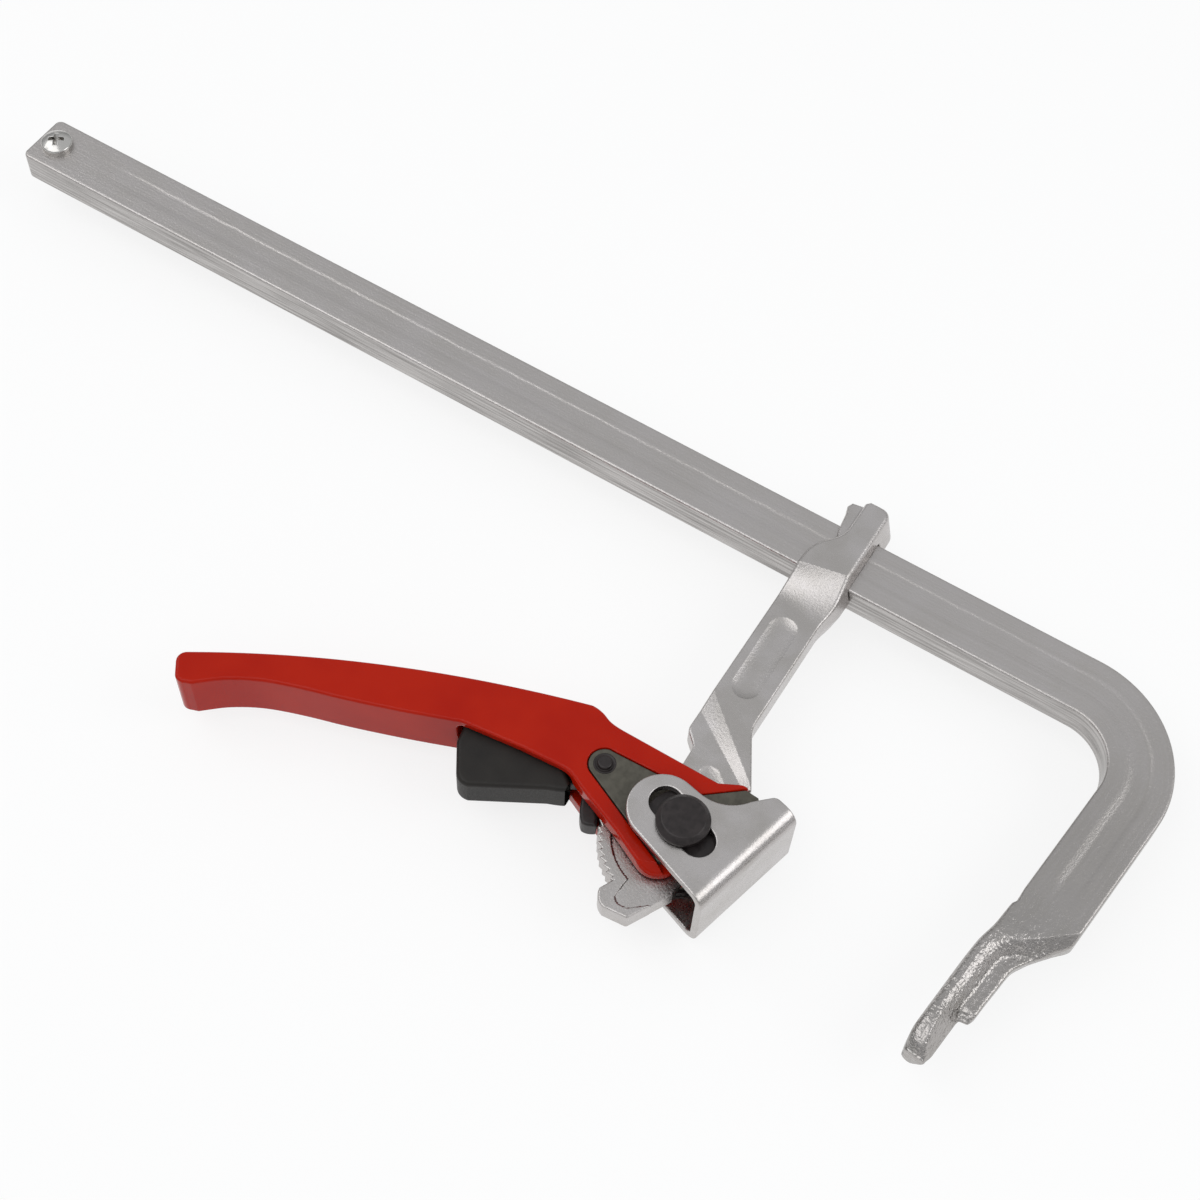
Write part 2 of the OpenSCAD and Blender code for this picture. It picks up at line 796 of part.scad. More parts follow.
// Bracket section, seen along the plate: a channel with round bends
module channel_plan() {
    r_in = bracket_bend_r - sheet_t;
    back = slot_back + flange_r + 4;
    difference() {
        union() {
            translate([-back, -flange_out])
                square([back + plate_at - bracket_bend_r, bracket_w]);
            translate([0, bracket_bend_r - flange_out])
                square([plate_at, bracket_w - 2 * bracket_bend_r]);
            for (s = [-1, 1])
                translate([plate_at - bracket_bend_r, s * (flange_out - bracket_bend_r)])
                    circle(r = bracket_bend_r);
        }
        translate([-back - 1, -flange_in]) square([back + 1 + plate_in - r_in, 2 * flange_in]);
        translate([0, r_in - flange_in]) square([plate_in, 2 * (flange_in - r_in)]);
        for (s = [-1, 1])
            translate([plate_in - r_in, s * (flange_in - r_in)]) circle(r = r_in);
    }
}

// Flange seen from above: round end, hollow upper edge, horn with a round corner, lower edge
module flange_plan() {
    edge = plate_at + 6;
    round_at = [1.1 - slot_back, -1.9];
    hollow_at = [plate_at - flange_end_w - hollow_r - 2.4, plate_up - 2.2];
    corner_at = [plate_at - flange_end_w + horn_r, plate_up - horn_r];
    upper = concat(
        arc(hollow_at, hollow_r, 272, 340), arc(corner_at, horn_r, 153, 90, 4), [[edge, plate_up]]
    );
    polygon(concat(
        arc(round_at, flange_r, 268, 98, 16),
        [for (p = upper) turn(p, plate_skew)],
        [[edge, -plate_down]]
    ));
}

module pressure_bracket() {
    color(steel)
        at_bracket()
            difference() {
                intersection() {
                    rotate([0, 0, plate_skew])
                        translate([0, plate_up, 0])
                            rotate([90, 0, 0])
                                linear_extrude(plate_up + plate_down + 10) channel_plan();
                    slab(2 * bracket_w) flange_plan();
                }
                slab(2 * bracket_w)
                    oval([-slot_back, 0], [slot_front, 0], sleeve_d + 2 * run_gap);
            }
}

rail();
stop_screw();
sliding_arm();
pivot_pin();
pivot_pin_cap();
spacer_washer_upper();
spacer_washer_lower();
slot_sleeve_upper();
slot_sleeve_lower();
handle();
cam_plate_upper();
cam_plate_lower();
pawl_pin();
pawl();
trigger();
trigger_pin();
trigger_spring();
pressure_bracket();
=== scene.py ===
import bmesh
import bpy
import numpy as np
from mathutils import Matrix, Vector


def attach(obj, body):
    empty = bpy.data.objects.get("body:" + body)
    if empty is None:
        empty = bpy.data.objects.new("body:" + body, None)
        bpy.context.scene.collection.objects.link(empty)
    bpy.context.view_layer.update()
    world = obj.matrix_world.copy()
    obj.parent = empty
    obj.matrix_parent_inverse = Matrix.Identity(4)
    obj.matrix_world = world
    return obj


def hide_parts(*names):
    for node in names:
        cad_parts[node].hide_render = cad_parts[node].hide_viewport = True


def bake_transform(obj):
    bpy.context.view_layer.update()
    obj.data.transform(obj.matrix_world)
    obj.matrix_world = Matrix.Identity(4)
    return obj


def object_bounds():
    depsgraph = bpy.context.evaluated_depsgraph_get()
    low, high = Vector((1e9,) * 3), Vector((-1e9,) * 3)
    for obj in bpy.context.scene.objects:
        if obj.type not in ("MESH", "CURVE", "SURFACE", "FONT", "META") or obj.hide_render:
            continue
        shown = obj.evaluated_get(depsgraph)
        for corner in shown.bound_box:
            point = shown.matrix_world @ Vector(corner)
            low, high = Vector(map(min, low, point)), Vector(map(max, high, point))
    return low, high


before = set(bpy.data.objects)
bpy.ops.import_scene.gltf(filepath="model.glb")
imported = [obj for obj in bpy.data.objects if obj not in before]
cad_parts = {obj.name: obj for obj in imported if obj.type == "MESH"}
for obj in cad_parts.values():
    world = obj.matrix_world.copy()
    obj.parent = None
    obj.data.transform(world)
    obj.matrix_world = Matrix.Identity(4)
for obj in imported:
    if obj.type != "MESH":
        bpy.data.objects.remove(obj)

scene = bpy.context.scene
cad_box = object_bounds()

# Lengths below are millimetres in the shared frame, and become metres when a mesh is made.
MM = 0.001
PIVOT = np.array([-94.6, 4.5])

# Rail and fixed arm
RAIL_W, RAIL_T, RAIL_RUN = 22.8, 12.0, 459.0
BEND_R, LEAN = 19.5, np.radians(6.4)
BEND_AT = np.array([-6.0936, 97.2858])
RAIL_Y = BEND_AT[1] + BEND_R
RAIL_END = BEND_AT[0] - RAIL_RUN
RAIL_MID = RAIL_Y + RAIL_W / 2
SCREW_AT = np.array([RAIL_END + 8.6, RAIL_MID])
FINGER_TIP = 114.0

# Stack on the pivot pin, measured from the mid plane
TANG, RECESS, ARM, EYE = 4.0, 3.4, 5.4, 12.0
CHEEK, SLOT_HALF = 10.5, 4.4
CAM_FLOOR, CAM_T = 7.6, 2.8
CAM_FACE = CAM_FLOOR + CAM_T
FLANGE_OUT, SHEET = 16.3, 3.0
FLANGE_IN = FLANGE_OUT - SHEET
HEAD_IN, HEAD_H = 16.6, 3.4
HEAD_OUT = HEAD_IN + HEAD_H
STACK_GAP = 0.15

# Radii of the pins, and of the rings and bores round them
PIN_R, PIN_BORE, HEAD_R = 4.5, 4.55, 9.0
WASHER_R, SLEEVE_R = 13.2, 5.5
RIVET_R, RIVET_BORE = 2.25, 2.27
HUB_R, HUB_BORE = 5.6, 2.3
CROSS_PIN_R, CROSS_PIN_BORE = 1.5, 1.52

# Plan places, measured from the pivot
PAWL_AT = np.array([-33.406, 6.796])
TAIL_AT = PAWL_AT + [-28.6, -14.3]
TILT, SKEW = np.radians(-21.5), np.radians(7.3)
TOOTH_R, TOOTH_DEEP, TOOTH_STEP, TOOTH_N, TOOTH_FIRST = 27.3, 1.4, 5.8, 13, 174.0

# Sides of the mid plane: sign, word in a piece's name, word in a node's name
SIDES = ((1, "top", "upper"), (-1, "under", "lower"))


# Plan drawing

def polar(r, degrees):
    """Point at a radius and an angle: r times the angle's cosine and sine."""
    a = np.radians(degrees)
    return np.stack([r * np.cos(a), r * np.sin(a)], -1)


def arc(centre, r, start, stop, n=10):
    """Points of an arc: its centre plus the polar points of evenly spaced angles."""
    return np.asarray(centre, float) + polar(r, np.linspace(start, stop, n))


def sweep_to(first, pull, last, n=14):
    """Quadratic curve: the three points weighted by (1-t)^2, 2t(1-t) and t^2."""
    t = np.linspace(0, 1, n)[:, None]
    return (1 - t) ** 2 * np.asarray(first) + 2 * t * (1 - t) * np.asarray(pull) + t * t * np.asarray(last)


def drawn(*runs):
    """One closed outline from runs of points, without points that lie on each other."""
    points = np.concatenate([np.atleast_2d(np.asarray(r, float)) for r in runs])
    step = np.linalg.norm(points - np.roll(points, 1, 0), axis=1)
    return points[step > 1e-4]


def turned(points, angle):
    """Points turned about the origin: x cos - y sin, x sin + y cos."""
    p = np.asarray(points, float)
    c, s = np.cos(angle), np.sin(angle)
    return np.stack([p[..., 0] * c - p[..., 1] * s, p[..., 0] * s + p[..., 1] * c], -1)


def smooth_knots(t, knots):
    """Curve through knots of place and value: a cubic between each two, whose slope at a knot is the
    harmonic mean of the rises beside it, or none where they differ in sign, so that it never overshoots."""
    at, values = np.asarray(knots, float).T
    gap = np.diff(at)
    rise = np.diff(values) / gap
    alike = rise[:-1] * rise[1:]
    mean = np.where(alike > 0, 2 * alike / np.where(alike > 0, rise[:-1] + rise[1:], 1), 0)
    slope = np.concatenate([rise[:1], mean, rise[-1:]])
    t = np.clip(t, at[0], at[-1])
    i = np.clip(np.searchsorted(at, t, side="right") - 1, 0, len(gap) - 1)
    s = (t - at[i]) / gap[i]
    start = (1 + 2 * s) * values[i] + s * gap[i] * slope[i]
    end = (3 - 2 * s) * values[i + 1] - (1 - s) * gap[i] * slope[i + 1]
    return (1 - s) ** 2 * start + s * s * end


def soft_step(t):
    """Smooth rise from 0 to 1: three times t squared less twice t cubed, for t between 0 and 1."""
    t = np.clip(t, 0, 1)
    return t * t * (3 - 2 * t)


def ramp(t, start, width):
    """Soft step of the distance past a start, over a width."""
    return soft_step((t - start) / width)


def quarter_round(r, past):
    """How far a quarter circle has drawn in at a distance past its start: r less the root of r squared
    less the distance squared."""
    return r - np.sqrt(np.maximum(r * r - np.maximum(past, 0) ** 2, 0))


def gone(*coordinates):
    """Distance gone at each point of a line: the running sum of the lengths between its points."""
    step = np.sqrt(sum(np.diff(c, axis=-1) ** 2 for c in coordinates))
    return np.concatenate([np.zeros((*step.shape[:-1], 1)), np.cumsum(step, -1)], -1)


# Distance fields: negative inside, positive outside, in millimetres

def outline_field(x, y, outline):
    """Distance to a closed outline: the least distance to any of its edges, negative where a ray
    towards +x crosses the outline an odd number of times."""
    near = np.full(np.broadcast(x, y).shape, 1e9)
    odd = np.zeros(near.shape, bool)
    for (ax, ay), (bx, by) in zip(outline, np.roll(outline, -1, 0)):
        ex, ey, wx, wy = bx - ax, by - ay, x - ax, y - ay
        t = np.clip((wx * ex + wy * ey) / (ex * ex + ey * ey), 0, 1)
        near = np.minimum(near, (wx - t * ex) ** 2 + (wy - t * ey) ** 2)
        if ey != 0:
            odd ^= ((ay > y) != (by > y)) & (wx < ex * wy / ey)
    return np.where(odd, -1.0, 1.0) * np.sqrt(near)


def oval_field(x, y, first, last, r):
    """Distance to a straight line between two points, less the radius."""
    (ax, ay), (bx, by) = first, last
    ex, ey, wx, wy = bx - ax, by - ay, x - ax, y - ay
    t = np.clip((wx * ex + wy * ey) / (ex * ex + ey * ey), 0, 1)
    return np.hypot(wx - t * ex, wy - t * ey) - r


def round_field(x, y, centre, r):
    """Distance to a point in the plan, less the radius."""
    return np.hypot(x - centre[0], y - centre[1]) - r


def rounded(a, b, r):
    """Both of two forms, with the edge where they meet rounded by r: the larger distance inside,
    and the length of the two distances together round the edge."""
    a, b = a + r, b + r
    return np.minimum(np.maximum(a, b), 0) + np.hypot(np.maximum(a, 0), np.maximum(b, 0)) - r


def joined(a, b, k):
    """Either of two forms, with a hollow fillet: the smaller distance, less a parabola of width k
    where the two are nearly equal."""
    h = np.clip(0.5 + 0.5 * (b - a) / k, 0, 1)
    return b + (a - b) * h - k * h * (1 - h)


def cut(a, b, k):
    """The first form without the second, with the cut's edge softened over width k."""
    return -joined(-a, b, k)


# Meshes

WELD = 2e-6  # metres
SLOPE_STEP, LEAST_SLOPE = 0.02, 0.3
SLIDES, SLIDE_REACH = 2, 0.6


def piece(name, points, faces, material, body, nodes, slot, normals=None, uv=None, crisp=None):
    """Puts whole arrays of points and four-sided faces into a mesh that rides on a body, where one is
    named. With crisp given, points that lie on each other, as at a pole, become one, and edges sharper
    than crisp degrees stay sharp."""
    mesh = bpy.data.meshes.new(name)
    points, faces = np.asarray(points, float) * MM, np.asarray(faces, np.int32)
    mesh.vertices.add(len(points))
    mesh.vertices.foreach_set("co", points.astype(np.float32).ravel())
    mesh.loops.add(faces.size)
    mesh.loops.foreach_set("vertex_index", faces.ravel())
    mesh.polygons.add(len(faces))
    mesh.polygons.foreach_set("loop_start", np.arange(0, faces.size, faces.shape[1], dtype=np.int32))
    mesh.polygons.foreach_set("use_smooth", np.ones(len(faces), bool))
    mesh.update(calc_edges=True)
    if uv is not None:
        layer = mesh.uv_layers.new(name="run")
        layer.data.foreach_set("uv", np.asarray(uv, np.float32)[faces.ravel()].ravel())
    if crisp is not None:
        shape = bmesh.new()
        shape.from_mesh(mesh)
        bmesh.ops.remove_doubles(shape, verts=shape.verts, dist=WELD)
        shape.to_mesh(mesh)
        shape.free()
        mesh.set_sharp_from_angle(angle=np.radians(crisp))
    if normals is not None:
        mesh.normals_split_custom_set_from_vertices(normals)
    obj = bpy.data.objects.new(name, mesh)
    scene.collection.objects.link(obj)
    mesh.materials.append(material)
    if body is not None:
        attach(obj, body)
    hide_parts(*nodes)
    return obj


def skin(field, low, high, step):
    """Closed surface where a distance field is zero.

    The field is sampled on a grid of cells. A cell that the surface crosses gets one point, the mean
    of the crossings on its twelve edges, and a grid edge that the surface crosses gets one face,
    between the four cells round it. The points then slide along the field's slope to where it is
    zero, and the slope there is their normal.
    """
    axes = [np.arange(a - 1.5 * step, b + 2.5 * step, step) for a, b in zip(low, high)]
    f = field(*np.meshgrid(*axes, indexing="ij", sparse=True)).astype(np.float32)
    solid = f < 0
    corners = np.array([(i, j, k) for i in (0, 1) for j in (0, 1) for k in (0, 1)])
    size = np.array(f.shape) - 1
    count = sum(solid[i:size[0] + i, j:size[1] + j, k:size[2] + k].astype(np.int8) for i, j, k in corners)
    live = (count > 0) & (count < 8)
    cells = np.argwhere(live)
    index = np.full(live.shape, -1, np.int32)
    index[live] = np.arange(len(cells))
    value = np.stack([f[tuple((cells + c).T)] for c in corners], 1)
    total, hits = np.zeros(cells.shape), np.zeros(len(cells))
    for a in range(8):
        for b in range(a + 1, 8):
            if np.abs(corners[a] - corners[b]).sum() == 1:
                va, vb = value[:, a], value[:, b]
                crossed = (va < 0) != (vb < 0)
                t = np.where(crossed, va / np.where(crossed, va - vb, 1), 0)
                total += crossed[:, None] * (corners[a] + t[:, None] * (corners[b] - corners[a]))
                hits += crossed
    points = np.array([a[0] for a in axes]) + (cells + total / hits[:, None]) * step
    faces = []
    for axis in range(3):
        u, v = np.roll(np.eye(3, dtype=int), -axis - 1, 0)[:2]
        near, far = [slice(1, -1)] * 3, [slice(1, -1)] * 3
        near[axis], far[axis] = slice(0, -1), slice(1, None)
        inner = solid[tuple(near)]
        crossed = inner != solid[tuple(far)]
        at = np.argwhere(crossed) + u + v
        quad = np.stack([index[tuple((at - w).T)] for w in (u + v, v, 0 * u, u)], 1)
        faces.append(np.where(inner[crossed][:, None], quad, quad[:, ::-1]))
    h, reach = SLOPE_STEP, SLIDE_REACH * step
    for turn in range(SLIDES + 1):
        x, y, z = points.T
        here = field(x, y, z)
        ahead = np.stack([field(x + h, y, z), field(x, y + h, z), field(x, y, z + h)], 1)
        slope = (ahead - here[:, None]) / h
        long = np.maximum(np.linalg.norm(slope, axis=1, keepdims=True), LEAST_SLOPE)
        if turn < SLIDES:
            points = points - np.clip(here[:, None] / long, -reach, reach) * slope / long
    return points, np.concatenate(faces), slope / long


def shell(name, field, low, high, step, *rest):
    """A piece whose surface is the zero of a field drawn from the pivot."""
    points, faces, normals = skin(field, low, high, step)
    points[:, :2] += PIVOT
    piece(name, points, faces, *rest, normals=normals)


def grid_faces(rows, columns, wrap_rows=False):
    """Faces of a grid of points whose columns close on themselves."""
    i = np.arange(rows if wrap_rows else rows - 1)[:, None]
    j = np.arange(columns)[None]
    n, k = (i + 1) % rows, (j + 1) % columns
    return np.stack([i * columns + j, n * columns + j, n * columns + k, i * columns + k], -1).reshape(-1, 4)


def turned_form(name, profile, centre, *rest, sides=72, closed=False):
    """Profile of radius and height carried round a line along z: radius times the angle's cosine
    and sine, then the height. A profile that isn't closed on itself starts and ends on the line."""
    profile = np.asarray(profile, float)
    a = np.linspace(0, 2 * np.pi, sides, endpoint=False)
    r, z = profile[:, :1], profile[:, 1:]
    points = np.stack([centre[0] + r * np.cos(a), centre[1] + r * np.sin(a), z + 0 * a], -1)
    faces = grid_faces(len(profile), sides, closed)[:, ::-1]
    piece(name, points.reshape(-1, 3), faces, *rest, crisp=34)


def rod(r, low, high):
    """Profile of a plain rod."""
    return [(0, low), (r, low), (r, high), (0, high)]


def eased(corners, r, n=4):
    """Profile with each corner but the first and last replaced by a quadratic curve that starts
    and ends r from it, or less where the sides are short."""
    corners = np.asarray(corners, float)
    runs = [corners[:1]]
    for before, corner, after in zip(corners, corners[1:], corners[2:]):
        back, on = before - corner, after - corner
        back_long, on_long = np.linalg.norm(back), np.linalg.norm(on)
        reach = min(r, 0.45 * back_long, 0.45 * on_long)
        runs.append(sweep_to(corner + back / back_long * reach, corner, corner + on / on_long * reach, n))
    return np.concatenate(runs + [corners[-1:]])


# Finishes

def linear(r, g, b):
    """Colour written in screen values from 0 to 255, as light values with full cover."""
    c = np.array([r, g, b]) / 255
    return (*np.where(c <= 0.04045, c / 12.92, ((c + 0.055) / 1.055) ** 2.4), 1)


def finish_of(name, colour, metallic, roughness, specular=0.5):
    """A named material with its shader's own sockets set."""
    mat = bpy.data.materials.new(name)
    mat.use_nodes = True
    shader = mat.node_tree.nodes["Principled BSDF"]
    shader.inputs["Base Color"].default_value = colour
    shader.inputs["Metallic"].default_value = metallic
    shader.inputs["Roughness"].default_value = roughness
    shader.inputs["Specular IOR Level"].default_value = specular
    return mat, mat.node_tree, shader


def dressed(tree, shader, colour=None, roughness=None, normal=None):
    """Links node outputs to the shader's sockets, where they are given."""
    for socket, value in (("Base Color", colour), ("Roughness", roughness), ("Normal", normal)):
        if value is not None:
            tree.links.new(value, shader.inputs[socket])


def made(tree, kind, inputs, **settings):
    """Outputs of a new node with these settings. Each input is a value or another node's output."""
    node = tree.nodes.new("ShaderNode" + kind)
    for name, value in settings.items():
        setattr(node, name, value)
    for socket, value in inputs.items():
        if isinstance(value, bpy.types.NodeSocket):
            tree.links.new(value, node.inputs[socket])
        else:
            node.inputs[socket].default_value = value
    return node.outputs


def worked(tree, operation, *values):
    """Result of a sum on numbers or node outputs."""
    return made(tree, "Math", dict(enumerate(values)), operation=operation)[0]


def mottle(tree, size, detail, stretch=(1, 1, 1), rough=0.55, source="Object"):
    """Noise whose blotches are about size millimetres across, stretched along an axis by its share."""
    place = made(tree, "TexCoord", {})[source]
    scaled = made(tree, "Mapping", {"Vector": place, "Scale": stretch})["Vector"]
    noise = {"Vector": scaled, "Scale": 1 / (size * MM), "Detail": detail, "Roughness": rough}
    return made(tree, "TexNoise", noise)["Fac"]


def ranged(tree, value, low, high, start=0.35, stop=0.65):
    """Carries a value from one range to another; the first is a noise's usual spread if none is given."""
    ends = {"From Min": start, "From Max": stop, "To Min": low, "To Max": high}
    return made(tree, "MapRange", {"Value": value, **ends})["Result"]


def tinted(tree, value, first, second, way="MIX"):
    """Blends two colours, or node outputs, by a value from 0 to 1."""
    inputs = {"Factor": value, "A": first, "B": second}
    return made(tree, "Mix", inputs, data_type="RGBA", blend_type=way)["Result"]


def raised(tree, value, height, strength=1.0, under=None):
    """Bump of a height in millimetres, on top of another bump where one is given."""
    inputs = {"Height": value, "Distance": height * MM, "Strength": strength}
    if under is not None:
        inputs["Normal"] = under
    return made(tree, "Bump", inputs)["Normal"]


# Where the bar's finish changes, in metres: along its middle, and round it from its inner edge's middle
DARKENS, STREAKS_END, FORGED = (0.459, 0.53), (0.543, 0.553), (0.553, 0.573)
INNER_SIDE_END = 0.0048, 0.0056
PLATING, DARKER = linear(185, 181, 179), (0.8, 0.8, 0.79, 1)


def satin_steel(name, grain):
    """Plated steel: a grey that drifts a little, with a fine grain that glints on its slopes."""
    mat, tree, shader = finish_of(name, PLATING, 1.0, 0.28)
    cloud = ranged(tree, mottle(tree, 14, 3), 0, 1)
    colour = tinted(tree, cloud, linear(180, 176, 173), linear(191, 187, 186))
    speck = mottle(tree, 0.8, 3, rough=0.7)
    soft = raised(tree, mottle(tree, 5, 2), 0.06, 0.8)
    dressed(tree, shader, colour, ranged(tree, speck, 0.25, 0.33), raised(tree, speck, grain, 1.0, soft))
    return mat


def rolled_steel():
    """Plated bar: the same grey, with fine streaks along the bar from its rolling, darker ones on the
    edge towards the jaws, a darker tone from the bend on, and the grain of a forging from the shoulder on."""
    mat, tree, shader = finish_of("rolled_steel", PLATING, 1.0, 0.3)
    run = made(tree, "SeparateXYZ", {0: made(tree, "TexCoord", {})["UV"]})
    along, round_it = run["X"], run["Y"]

    streak = mottle(tree, 1.2, 4, stretch=(0.02, 1, 1), source="UV")
    cloud = ranged(tree, mottle(tree, 16, 3), 0, 0.5, 0, 1)
    drift = ranged(tree, worked(tree, "MULTIPLY_ADD", streak, 0.5, cloud), 0, 1)
    flat = tinted(tree, drift, linear(182, 178, 175), linear(188, 184, 183))
    scrape = ranged(tree, mottle(tree, 1.0, 3, stretch=(0.03, 1, 1), source="UV"), 0, 1)
    inner_side = tinted(tree, scrape, linear(146, 143, 141), linear(194, 191, 189))
    off_side = ranged(tree, worked(tree, "ABSOLUTE", round_it), 0, 1, *INNER_SIDE_END)
    bare = tinted(tree, off_side, inner_side, flat)
    # From the bend on, the colour is multiplied down to a darker tone.
    colour = tinted(tree, ranged(tree, along, 0, 1, *DARKENS), bare, DARKER, "MULTIPLY")

    lines = raised(tree, streak, 0.12, ranged(tree, along, 0.8, 0, *STREAKS_END))
    grain = raised(tree, mottle(tree, 1.0, 3, rough=0.75), 0.15, 1.0, lines)
    forging = ranged(tree, along, 0, 1, *FORGED)
    pits = raised(tree, mottle(tree, 2.1, 2, rough=0.6), 0.6, forging, grain)
    dressed(tree, shader, colour, ranged(tree, along, 0.31, 0.14, *FORGED), pits)
    return mat


def lever_paint():
    """Glossy red lacquer with a faint ripple from spraying."""
    mat, tree, shader = finish_of("lever_paint", linear(168, 26, 6), 0.0, 0.16, specular=0.14)
    drift = ranged(tree, mottle(tree, 22, 2), 0, 1)
    colour = tinted(tree, drift, linear(164, 23, 5), linear(172, 29, 7))
    ripple = raised(tree, mottle(tree, 1.8, 2), 0.02, 0.6)
    dressed(tree, shader, colour, normal=ripple)
    return mat


def dark_metal(name, dark, light, metallic, low, high):
    """Blackened steel: two close tones in fine blotches, with an uneven sheen."""
    mat, tree, shader = finish_of(name, light, metallic, 0.5)
    blotch = mottle(tree, 2.4, 4)
    colour = tinted(tree, ranged(tree, blotch, 0, 1), dark, light)
    grain = raised(tree, mottle(tree, 0.5, 2), 0.012, 0.7)
    dressed(tree, shader, colour, ranged(tree, blotch, low, high), grain)
    return mat


def trigger_plastic():
    """Black moulded plastic with a fine spark-eroded grain."""
    mat, tree, shader = finish_of("trigger_plastic", linear(28, 25, 23), 0.0, 0.45, specular=0.3)
    cloud = ranged(tree, mottle(tree, 12, 2), 0, 1)
    colour = tinted(tree, cloud, linear(25, 22, 20), linear(33, 30, 27))
    grain = mottle(tree, 0.45, 2)
    dressed(tree, shader, colour, ranged(tree, grain, 0.42, 0.56), raised(tree, grain, 0.02, 0.8))
    return mat


def bright_zinc():
    """Zinc plating: nearly a mirror, with a few soft scratches."""
    mat, tree, shader = finish_of("bright_zinc", linear(196, 194, 191), 1.0, 0.16)
    scratch = mottle(tree, 0.8, 3, stretch=(1, 0.3, 1))
    sheen = ranged(tree, scratch, 0.13, 0.24)
    dressed(tree, shader, roughness=sheen, normal=raised(tree, scratch, 0.035, 0.8))
    return mat


STEEL = satin_steel("forged_steel", 0.1)
SHEET_STEEL = satin_steel("sheet_steel", 0.06)
BAR = rolled_steel()
PAINT = lever_paint()
CAM_STEEL = dark_metal("cam_steel", linear(77, 74, 66), linear(91, 88, 79), 0.5, 0.42, 0.56)
OXIDE = dark_metal("black_oxide", linear(33, 28, 28), linear(46, 40, 40), 0.3, 0.32, 0.46)
PLASTIC = trigger_plastic()
ZINC = bright_zinc()


# Rail: each list holds places down the fixed arm and the value there

INNER_EDGE = [
    (40, 0), (46, 0), (51.5, 0.3), (53.5, -0.5), (62, -0.9), (72, -2.3), (84, -2.6), (106, -2.6),
    (109, -2.3), (113.5, -1.2),
]
OUTER_EDGE = [
    (40, 22.79), (48, 22.79), (51.4, 22.79), (58.4, 19.1), (66.7, 13.9), (72.4, 11.7), (79, 11.4),
    (86, 11.1), (91, 11.0), (94.4, 10.3), (95.4, 7.5), (97, 7.2), (110, 7.1), (113, 6.5),
]
INNER_ROUND = [(47, 1.0), (66, 1.8), (84, 3.2), (110, 2.4)]
OUTER_ROUND = [(47, 1.0), (60, 1.0), (92, 1.1), (96, 0.7)]
HALF_THICK = [(40, 6), (45, 6), (52, 6.05), (79, 8), (100, 7.9), (108, 7.4), (114, 6.6)]
NOSE_FALL = [(95, 0), (100, 0.8), (105, 1.7), (108.5, 2.6), (110.5, 3.4), (112, 4.5), (113.3, 6.0)]
RIDGE = [
    (44, 27.2), (49, 22.1), (54, 17.1), (58.5, 13.0), (62.2, 9.5), (65, 6.4), (70, 3.6), (75, 2.8),
    (82, 2.6), (90, 2.2), (97, 1.9), (104, 2.2), (110, 2.5), (114, 2.5),
]
RIDGE_SOFT = [(55, 0.12), (60, 0.5), (66, 2.3), (92, 2.3), (101, 0.5)]
RIDGE_FALL = [(54, 0.9), (72, 1.5)]
RIB_HALF = [(40, 1.4), (58, 1.4), (74, 2.6), (91, 2.6), (95.5, 0.3), (102, 0.1), (114, 0.1)]

END_ROUND, END_THINNER, TIP_ROUND = 3.0, 0.16, 0.7
NOSE_SOFT, RIB_SOFT, SLANT_STEP = 1.2, 0.5, 0.2
MOST_ROUND, MOST_WALL = 0.35, 0.75  # most of the width and height that a rounding may take

# Places across a section: in a rounded edge, before and beyond a line, and how they crowd towards it
ROUND_N, NEAR_N, BEYOND_N, CROWDED = 7, 36, 25, 1.5
LINE_FAR, LINE_ROOM = 25, (0.1, 0.08)

# From a section's last point to its first, and the end faces' place round the section, in metres
LAST_STEP, CAP_V = 0.8, 0.012

# Groove in the rail; the pairs are a start and a width
GROOVE_D, GROOVE_DEEPER = 0.2, 1.5
GROOVE_SLOPE, GROOVE_STARTS, GROOVE_STOPS = (6.0, 3.5), (22, 40), (34, 12)
LIP_AT, LIP_W, LIP_WIDER, LIP_CALMER = 15.15, 1.3, 0.8, 0.6
LIP_BENDS, DEEPENS, LINE_MOVES = (455, 12), (465, 45), (36, 13)
WAVE_HIGH, WAVES = 0.07, ((6.6, 0), (3.7, 1), (2.2, 2.5), (1.45, 0))


def rail_stations():
    """Stations along the bar: its run, the bend, and the fixed arm down to the finger's tip, closer where
    the forging changes shape. For each: a point on the inner edge, the direction across, and the
    distances down the arm and from the free end."""
    rounding = END_ROUND * (1 - np.cos(np.linspace(0, np.pi / 2, 12)))
    run = RAIL_END + np.concatenate([rounding, np.linspace(5, RAIL_RUN, 170)])
    turn = np.linspace(np.pi / 2, -LEAN, 61)[1:]
    down = np.concatenate([
        np.linspace(1, 44, 22),
        np.linspace(44.6, 92, 104),
        np.linspace(92.2, 97, 25),
        np.linspace(97.4, FINGER_TIP - 0.8, 36),
        FINGER_TIP - TIP_ROUND + TIP_ROUND * np.sin(np.linspace(0, np.pi / 2, ROUND_N)),
    ])
    across_run = np.tile([0.0, 1.0], (len(run), 1))
    across_turn = np.stack([np.cos(turn), np.sin(turn)], 1)
    across_down = np.tile([np.cos(LEAN), -np.sin(LEAN)], (len(down), 1))
    edge = np.concatenate([
        np.stack([run, 0 * run + RAIL_Y], 1),
        BEND_AT + BEND_R * across_turn,
        BEND_AT + BEND_R * across_down + down[:, None] * np.array([-np.sin(LEAN), -np.cos(LEAN)]),
    ])
    across = np.concatenate([across_run, across_turn, across_down])
    arm = np.concatenate([np.full(len(run) + len(turn), -1.0), down])
    from_end = np.concatenate([run - RAIL_END, np.full(len(turn) + len(down), RAIL_RUN + 1)])
    return edge, across, arm[:, None], from_end[:, None]


